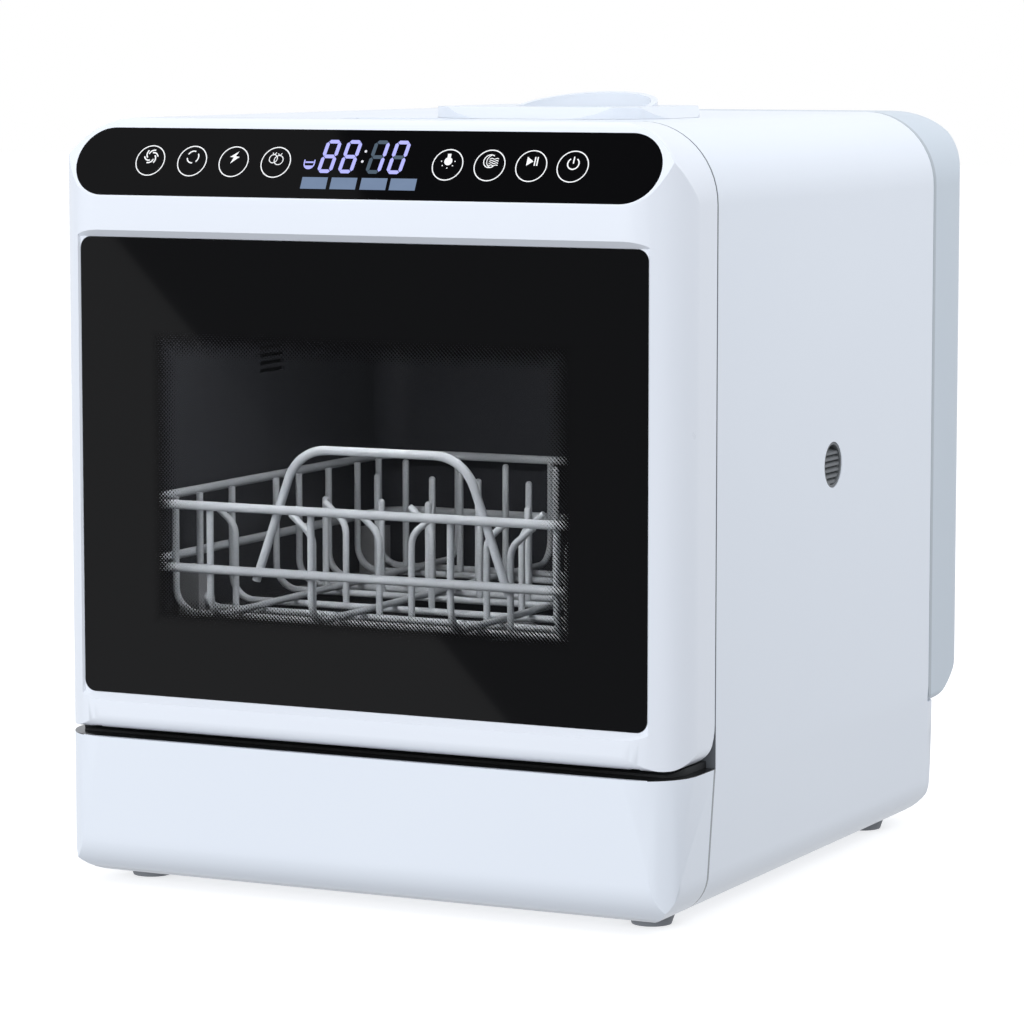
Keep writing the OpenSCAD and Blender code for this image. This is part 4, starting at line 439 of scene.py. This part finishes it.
def ribbon(path, half, closed=False):
    """A flat ribbon: the path's points pushed half a width to each side along its own normals."""
    path = np.asarray(path, float)
    ahead = np.roll(path, -1, 0) - np.roll(path, 1, 0) if closed else np.gradient(path, axis=0)
    ahead /= np.linalg.norm(ahead, axis=1, keepdims=True)
    side = np.stack([-ahead[:, 1], ahead[:, 0]], 1) * half
    n = len(path)
    return np.concatenate([path + side, path - side]), [
        (i, n + i, n + (i + 1) % n, (i + 1) % n) for i in range(n if closed else n - 1)]


def arc(x, up, radius, start=0, end=360, steps=64):
    """Points on a circle about (x, up), from start to end degrees.
    radius may be an array with one value a point, which makes a spiral."""
    angles = np.radians(np.linspace(start, end, steps, endpoint=end - start < 360))
    return np.array([x, up]) + np.stack([np.cos(angles), np.sin(angles)], 1) * np.reshape(radius, (-1, 1))


def disc(x, up, radius, steps=20):
    """A filled circle about (x, up), with steps corners."""
    return arc(x, up, radius, 0, 360, steps), [tuple(range(steps))]


# Painted light: the white ink glows faintly, though the print is no lamp.
white_ink = Finish("white_ink", roughness=0.5, emission_color=(1, 1, 1), emission_strength=0.25)
white_ink.set(base_color=white_ink.mix(white_ink.noise(900), (0.70, 0.70, 0.70), (0.82, 0.82, 0.82)))
rings = [ribbon(arc(x, key_up, key_radius), ring_half, closed=True) for x in key_x]
print_on_strip("key_rings", rings, white_ink)

# Key icons: vanes, broken ring, bolt, two fruits, lamp, drying waves, play and pause, power.
# Each is drawn about its key's place, its height above the strip's middle, in the same white ink.
thin_half, stroke_half, icon_up = 0.00026, 0.0004, 0.0034
vane_x, ring_x, bolt_x, fruit_x, lamp_x, dry_x, play_x, power_x = key_x
icons = []


def outline(x, corners):
    """A filled shape from its corners, which are millimetres across from x and up from the strip's middle."""
    icons.append((np.array(corners) / 1000 + (x, 0), [tuple(range(len(corners)))]))


vane_half, vane_turn, vane_radius = 0.00042, 78, np.linspace(0.0047, 0.0024, 12)
for turn in range(0, 360, 60):
    icons.append(ribbon(arc(vane_x, icon_up, vane_radius, turn, turn + vane_turn, 12), vane_half))
broken_radius, broken_turn = 0.0039, 84
for turn in (-50, 70, 190):
    icons.append(ribbon(arc(ring_x, icon_up, broken_radius, turn, turn + broken_turn, 14), stroke_half))
outline(bolt_x, [(2.4, 7.6), (-3.2, 3.8), (-0.5, 3.5), (-2.2, -0.6), (3.4, 3.9), (0.6, 4.3)])
for x, up, radius in ((fruit_x - 0.0022, 0.0030, 0.0027), (fruit_x + 0.0016, 0.0022, 0.0030)):
    top = up + radius
    icons.append(ribbon(arc(x, up, radius, steps=30), thin_half, closed=True))
    leaves = [(x - 0.0012, top + 0.0012), (x + 0.0002, top), (x + 0.0014, top + 0.0014)]
    icons.append(ribbon(leaves, thin_half))
bulb_up, bulb_radius, spark_reach, spark_radius = 0.0030, 0.0026, 0.0044, 0.0004
icons.append(disc(lamp_x, bulb_up, bulb_radius))
outline(lamp_x, [(-1.1, 5.0), (1.1, 5.0), (1.1, 7.8), (-1.1, 7.8)])
for turn in (-180, -140, -90, -40, 0):
    icons.append(disc(*arc(lamp_x, bulb_up, spark_reach, turn, turn + 1, 2)[0], spark_radius, 10))
dry_radius = 0.0041
icons.append(ribbon(arc(dry_x - 0.0002, icon_up, dry_radius, 55, 325, 30), 0.0003))
icons.append(ribbon(arc(dry_x + 0.0018, icon_up, dry_radius, 110, 250, 20), 0.00025))
wave_top, wave_pitch, wave_high, wave_turns = 0.0050, 0.0014, 0.0003, 1900
reach = np.linspace(-0.0008, 0.0052, 12)
for k in range(4):
    wave = wave_top - wave_pitch * k + wave_high * np.sin(reach * wave_turns)
    icons.append(ribbon(np.stack([dry_x + reach, wave], 1), thin_half))
outline(play_x, [(-3.4, 6.6), (-3.4, 0.8), (0.8, 3.7)])
for x in (play_x + 0.0018, play_x + 0.0034):
    icons.append(ribbon([(x, 0.0009), (x, 0.0065)], stroke_half))
power_up, power_radius, power_top = 0.0026, 0.0036, 0.0070
icons.append(ribbon(arc(power_x, power_up, power_radius, 125, 415, 30), stroke_half))
icons.append(ribbon([(power_x, power_up), (power_x, power_top)], stroke_half))
print_on_strip("key_icons", icons, white_ink)

# Time display: four seven-bar figures and a colon, shining through the strip from the module behind it.
# A bar is a stroke shortened at both ends, with pointed tips; lit ones are lavender, the rest slate.
figure_wide, figure_high, figure_foot, figure_lean = 0.0078, 0.0193, -0.0046, 0.13
bar_half, bar_gap = 0.00118, 0.0002
figure_left = [-0.0267, -0.0128, 0.0057, 0.0196]
strokes = {"a": ((0, 1), (1, 1)), "b": ((1, 1), (1, 0.5)), "c": ((1, 0.5), (1, 0)), "d": ((0, 0), (1, 0)),
           "e": ((0, 0.5), (0, 0)), "f": ((0, 1), (0, 0.5)), "g": ((0, 0.5), (1, 0.5))}
lit_bars = ("abcdefg", "abcdefg", "bc", "abcdef")


def light_bar(left, stroke):
    """One bar, bar_half wide on each side of its stroke and pointed at both ends.
    A stroke's end is its share of the figure's width and height, leant over by figure_lean times its height;
    bar_gap is left free at each end."""
    start, end = (np.array(p) * (figure_wide, figure_high) for p in strokes[stroke])
    start, end = (np.array([left + p[0] + p[1] * figure_lean, p[1] + figure_foot]) for p in (start, end))
    along = (end - start) / np.linalg.norm(end - start)
    start, end = start + along * bar_gap, end - along * bar_gap
    across = np.array([-along[1], along[0]]) * bar_half
    shoulder = along * bar_half
    return [start, start + shoulder + across, end - shoulder + across, end, end - shoulder - across,
            start + shoulder - across], [(0, 5, 4, 3, 2, 1)]


glowing = {"roughness": 0.4, "specular_ior_level": 0.1, "emission_strength": 1.0}
lit = Finish("lit_bar", base_color=(0.05, 0.05, 0.08), **glowing)
lit.set(emission_color=lit.mix(lit.noise(300), (0.42, 0.46, 1.0), (0.50, 0.48, 1.0)))
slate = Finish("slate_bar", base_color=(0.02, 0.03, 0.04), **glowing)
slate.set(emission_color=slate.mix(slate.noise(300), (0.060, 0.085, 0.115), (0.070, 0.095, 0.125)))
shining, unlit = [], []
for left, bars in zip(figure_left, lit_bars):
    for stroke in strokes:
        (shining if stroke in bars else unlit).append(light_bar(left, stroke))
colon = Finish("colon_dot", base_color=(0.05, 0.05, 0.05), emission_strength=1.0)
colon.set(emission_color=colon.mix(colon.noise(300), (0.75, 0.75, 0.82), (0.85, 0.85, 0.92)))
print_on_strip("figures_lit", shining, lit)
print_on_strip("figures_unlit", unlit, slate)
colon_radius = 0.00085
print_on_strip("colon", [disc(0.00207, 0.00866, colon_radius), disc(0.00119, 0.00205, colon_radius)], colon)

# Stage boxes and rinse mark: four bare blue-grey windows under the figures, and a small bowl beside them.
# The boxes are left empty; they light up one after the other as a wash goes on.
box_wide, box_low, box_high = 0.0172, -0.0162, -0.0086
boxes = []
for x in (-0.0365, -0.0167, 0.0034, 0.0229):
    end = x + box_wide
    boxes.append(([(x, box_low), (end, box_low), (end, box_high), (x, box_high)], [(0, 1, 2, 3)]))
box_blue = Finish("box_blue", base_color=(0.03, 0.04, 0.06), **glowing)
box_blue.set(emission_color=box_blue.mix(box_blue.noise(120), (0.14, 0.19, 0.29), (0.17, 0.23, 0.34)))
print_on_strip("stage_boxes", boxes, box_blue)
bowl_x, bowl_up, bowl_radius, bowl_rim, water_half, water_up = -0.0341, 0.0003, 0.0034, 0.0024, 0.0028, 0.0008
left, right, rim = bowl_x - bowl_radius, bowl_x + bowl_radius, bowl_up + bowl_rim
belly = arc(bowl_x, bowl_up, bowl_radius, 190, 350, 18)
bowl_wall = ribbon([(left, rim), (left, bowl_up), *belly, (right, bowl_up), (right, rim)], stroke_half)
water_ends = [(bowl_x - water_half, bowl_up + water_up), (bowl_x + water_half, bowl_up + water_up)]
water_line = ribbon(water_ends, 0.0005)
water = arc(bowl_x, bowl_up - 0.0004, 0.0029, 200, 340, 16), [tuple(range(16))]
print_on_strip("rinse_mark", [bowl_wall, water_line, water], lit)

# Rack: welded steel wire dipped in pale grey vinyl.
# The coat is smooth with slow thick and thin places.
vinyl = Finish("vinyl", specular_ior_level=0.4, coat_weight=0.1)
vinyl.set(base_color=vinyl.mix(vinyl.noise(18, 2), (0.62, 0.655, 0.70), (0.67, 0.705, 0.75)),
          roughness=vinyl.noise(150) * 0.12 + 0.3)
vinyl.bump(vinyl.noise(90, 1), 0.00006, 0.5)
rack_wires = []
for wires in ("rack_rails", "rack_cross_wires", "rack_long_wires", "rack_handle", "plate_tines", "cup_hooks"):
    rack_wires.append(skin(wires, vinyl, "rack"))

# Rack runners: pale slippery plastic clips round the lower side wires.
# A fine grain and slight staining.
runner_white = Finish("runner_white", specular_ior_level=0.35)
runner_white.set(base_color=runner_white.mix(runner_white.noise(60), (0.40, 0.41, 0.43), (0.46, 0.47, 0.49)),
                 roughness=runner_white.noise(300) * 0.1 + 0.35)
runner_white.bump(runner_white.noise(1000), 0.00003)
runner_white.coat("rack_runners")

# Floor: one wide pale sheet under the machine, not part of it.
# It glows a little, so that it runs into the white backdrop and keeps only a faint shadow.
floor_paint = Finish("floor_paint", specular_ior_level=0.0, roughness=0.8, emission_color=(1, 1, 1),
                     emission_strength=0.62)
floor_paint.set(base_color=floor_paint.mix(floor_paint.noise(1.5), (0.60, 0.60, 0.60), (0.62, 0.62, 0.62)))
floor_half = 14
mesh = bpy.data.meshes.new("floor")
mesh.from_pydata([(-floor_half, -floor_half, 0), (floor_half, -floor_half, 0), (floor_half, floor_half, 0),
                  (-floor_half, floor_half, 0)], [], [(0, 1, 2, 3)])
mesh.materials.append(floor_paint.material)
floor = bpy.data.objects.new("floor", mesh)
floor.visible_glossy = floor.visible_diffuse = False
bpy.context.scene.collection.objects.link(floor)


# Studio lights: broad soft panels, the key at the front left, a weaker one at the right and one overhead.
# The tub's lamp shines inside, and one small light falls on the rack's wires alone. The two gloss panels
# are seen only in reflections; their slanted edges cross the glass and the strip.
def panel(name, place, aim, power, wide, high, turn=0.0, colour=(1, 1, 1)):
    """A soft rectangular light at place, facing aim, turned about its own axis by turn degrees."""
    lamp = bpy.data.lights.new(name, "AREA")
    lamp.shape, lamp.size, lamp.size_y = "RECTANGLE", wide, high
    lamp.energy, lamp.color = power, colour
    piece = bpy.data.objects.new(name, lamp)
    piece.location = place
    way = Vector(aim) - Vector(place)
    piece.rotation_mode = "QUATERNION"
    piece.rotation_quaternion = way.to_track_quat("-Z", "Y") @ Quaternion((0, 0, 1), math.radians(turn))
    piece.visible_camera = False
    bpy.context.scene.collection.objects.link(piece)
    return piece


cool = (0.97, 0.985, 1)
panel("key_panel", (-0.9, -3.7, 1.1), (0, 0, 0.25), 68, 2.0, 2.0, colour=cool).visible_glossy = False
panel("right_panel", (1.3, 0.1, 1.2), (0.2, 0, 0.3), 7, 0.9, 0.9, colour=cool).visible_glossy = False
panel("top_panel", (0, 0.2, 3.0), (0, 0, 0.4), 12, 2.5, 2.5).visible_glossy = False
panel("tub_lamp", (0.0, -0.196, 0.385), (0, -0.02, 0.17), 0.4, 0.22, 0.03).visible_glossy = False
rack_lamp = panel("rack_lamp", (-0.16, -0.64, 0.50), (0, -0.15, 0.2), 1.8, 0.2, 0.2)
lit_by_it = bpy.data.collections.new("rack_lit")
for wires in rack_wires:
    lit_by_it.objects.link(wires)
rack_lamp.light_linking.receiver_collection = rack_lamp.light_linking.blocker_collection = lit_by_it
glass_gloss = panel("glass_gloss", (-2.254, -3.0, -0.411), (-2.254, 0, -0.411), 3.6, 3.0, 1.5, turn=-46.5)
strip_gloss = panel("strip_gloss", (-2.58, -2.3, 3.0), (-2.58, -2.3, 0), 1.4, 1.64, 1.6)
for gloss_panel in (glass_gloss, strip_gloss):
    gloss_panel.visible_diffuse = gloss_panel.visible_transmission = False

# Studio walls: plain white where the camera looks past the machine, bluer and softer as a source of light.
# Light grows upwards and is weaker from the right; in reflections the wall behind the machine is white and
# the room before it is dark.
world = bpy.data.worlds.new("studio")
world.use_nodes = True
walls = world.node_tree
for node in list(walls.nodes):
    walls.nodes.remove(node)
direction = walls.nodes.new("ShaderNodeTexCoord")
axes = walls.nodes.new("ShaderNodeSeparateXYZ")
walls.links.new(direction.outputs["Generated"], axes.inputs[0])
rays = walls.nodes.new("ShaderNodeLightPath")


def wall_feed(socket, value):
    """A number is set on the socket, anything else is linked to it."""
    if isinstance(value, float):
        socket.default_value = value
    else:
        walls.links.new(value, socket)


def wall_ramp(axis, start, stop, low, high):
    """The wall's strength: low where the direction's share along the axis is under start, high over stop."""
    ramp = walls.nodes.new("ShaderNodeMapRange")
    limits = {"From Min": start, "From Max": stop, "To Min": low, "To Max": high, "Value": axes.outputs[axis]}
    for key, value in limits.items():
        wall_feed(ramp.inputs[key], value)
    return ramp.outputs[0]


below, above = wall_ramp("X", 0.1, 0.9, 0.42, 0.28), wall_ramp("X", 0.1, 0.9, 0.80, 0.72)
strength = wall_ramp("Z", -0.5, 0.5, below, above)
room = wall_ramp("Z", -0.4, 0.5, 0.20, 0.03)
reflected = wall_ramp("Y", -0.1, 0.5, room, 0.95)
for ray, shade in (("Is Glossy Ray", reflected), ("Is Camera Ray", 1.0)):
    pick = walls.nodes.new("ShaderNodeMix")
    for socket, value in zip((pick.inputs[0], *pick.inputs[2:4]), (rays.outputs[ray], strength, shade)):
        wall_feed(socket, value)
    strength = pick.outputs[0]
tint = walls.nodes.new("ShaderNodeMix")
tint.data_type = "RGBA"
tint.inputs[6].default_value, tint.inputs[7].default_value = (0.955, 0.985, 1.03, 1), (1, 1, 1, 1)
wall_feed(tint.inputs[0], rays.outputs["Is Camera Ray"])
glow = walls.nodes.new("ShaderNodeBackground")
wall_feed(glow.inputs["Color"], tint.outputs[2])
wall_feed(glow.inputs["Strength"], strength)
end = walls.nodes.new("ShaderNodeOutputWorld")
wall_feed(end.inputs["Surface"], glow.outputs[0])
bpy.context.scene.world = world

# Camera: at the right, a little above the middle, with a long lens that looks slightly down.
# Colours come out straight, with no film curve, so that the white stays white.
bpy.context.scene.view_settings.view_transform = "Standard"
lens = bpy.data.cameras.new("camera")
lens.sensor_width, lens.lens, lens.clip_end = 36, 149.87, 60
look_down, turned = math.radians(6.36), math.radians(26.026)
camera = bpy.data.objects.new("camera", lens)
camera.location = (1.190, -2.461, 0.523)
camera.rotation_euler = (math.pi / 2 - look_down, 0, turned)
bpy.context.scene.collection.objects.link(camera)
bpy.context.scene.camera = camera
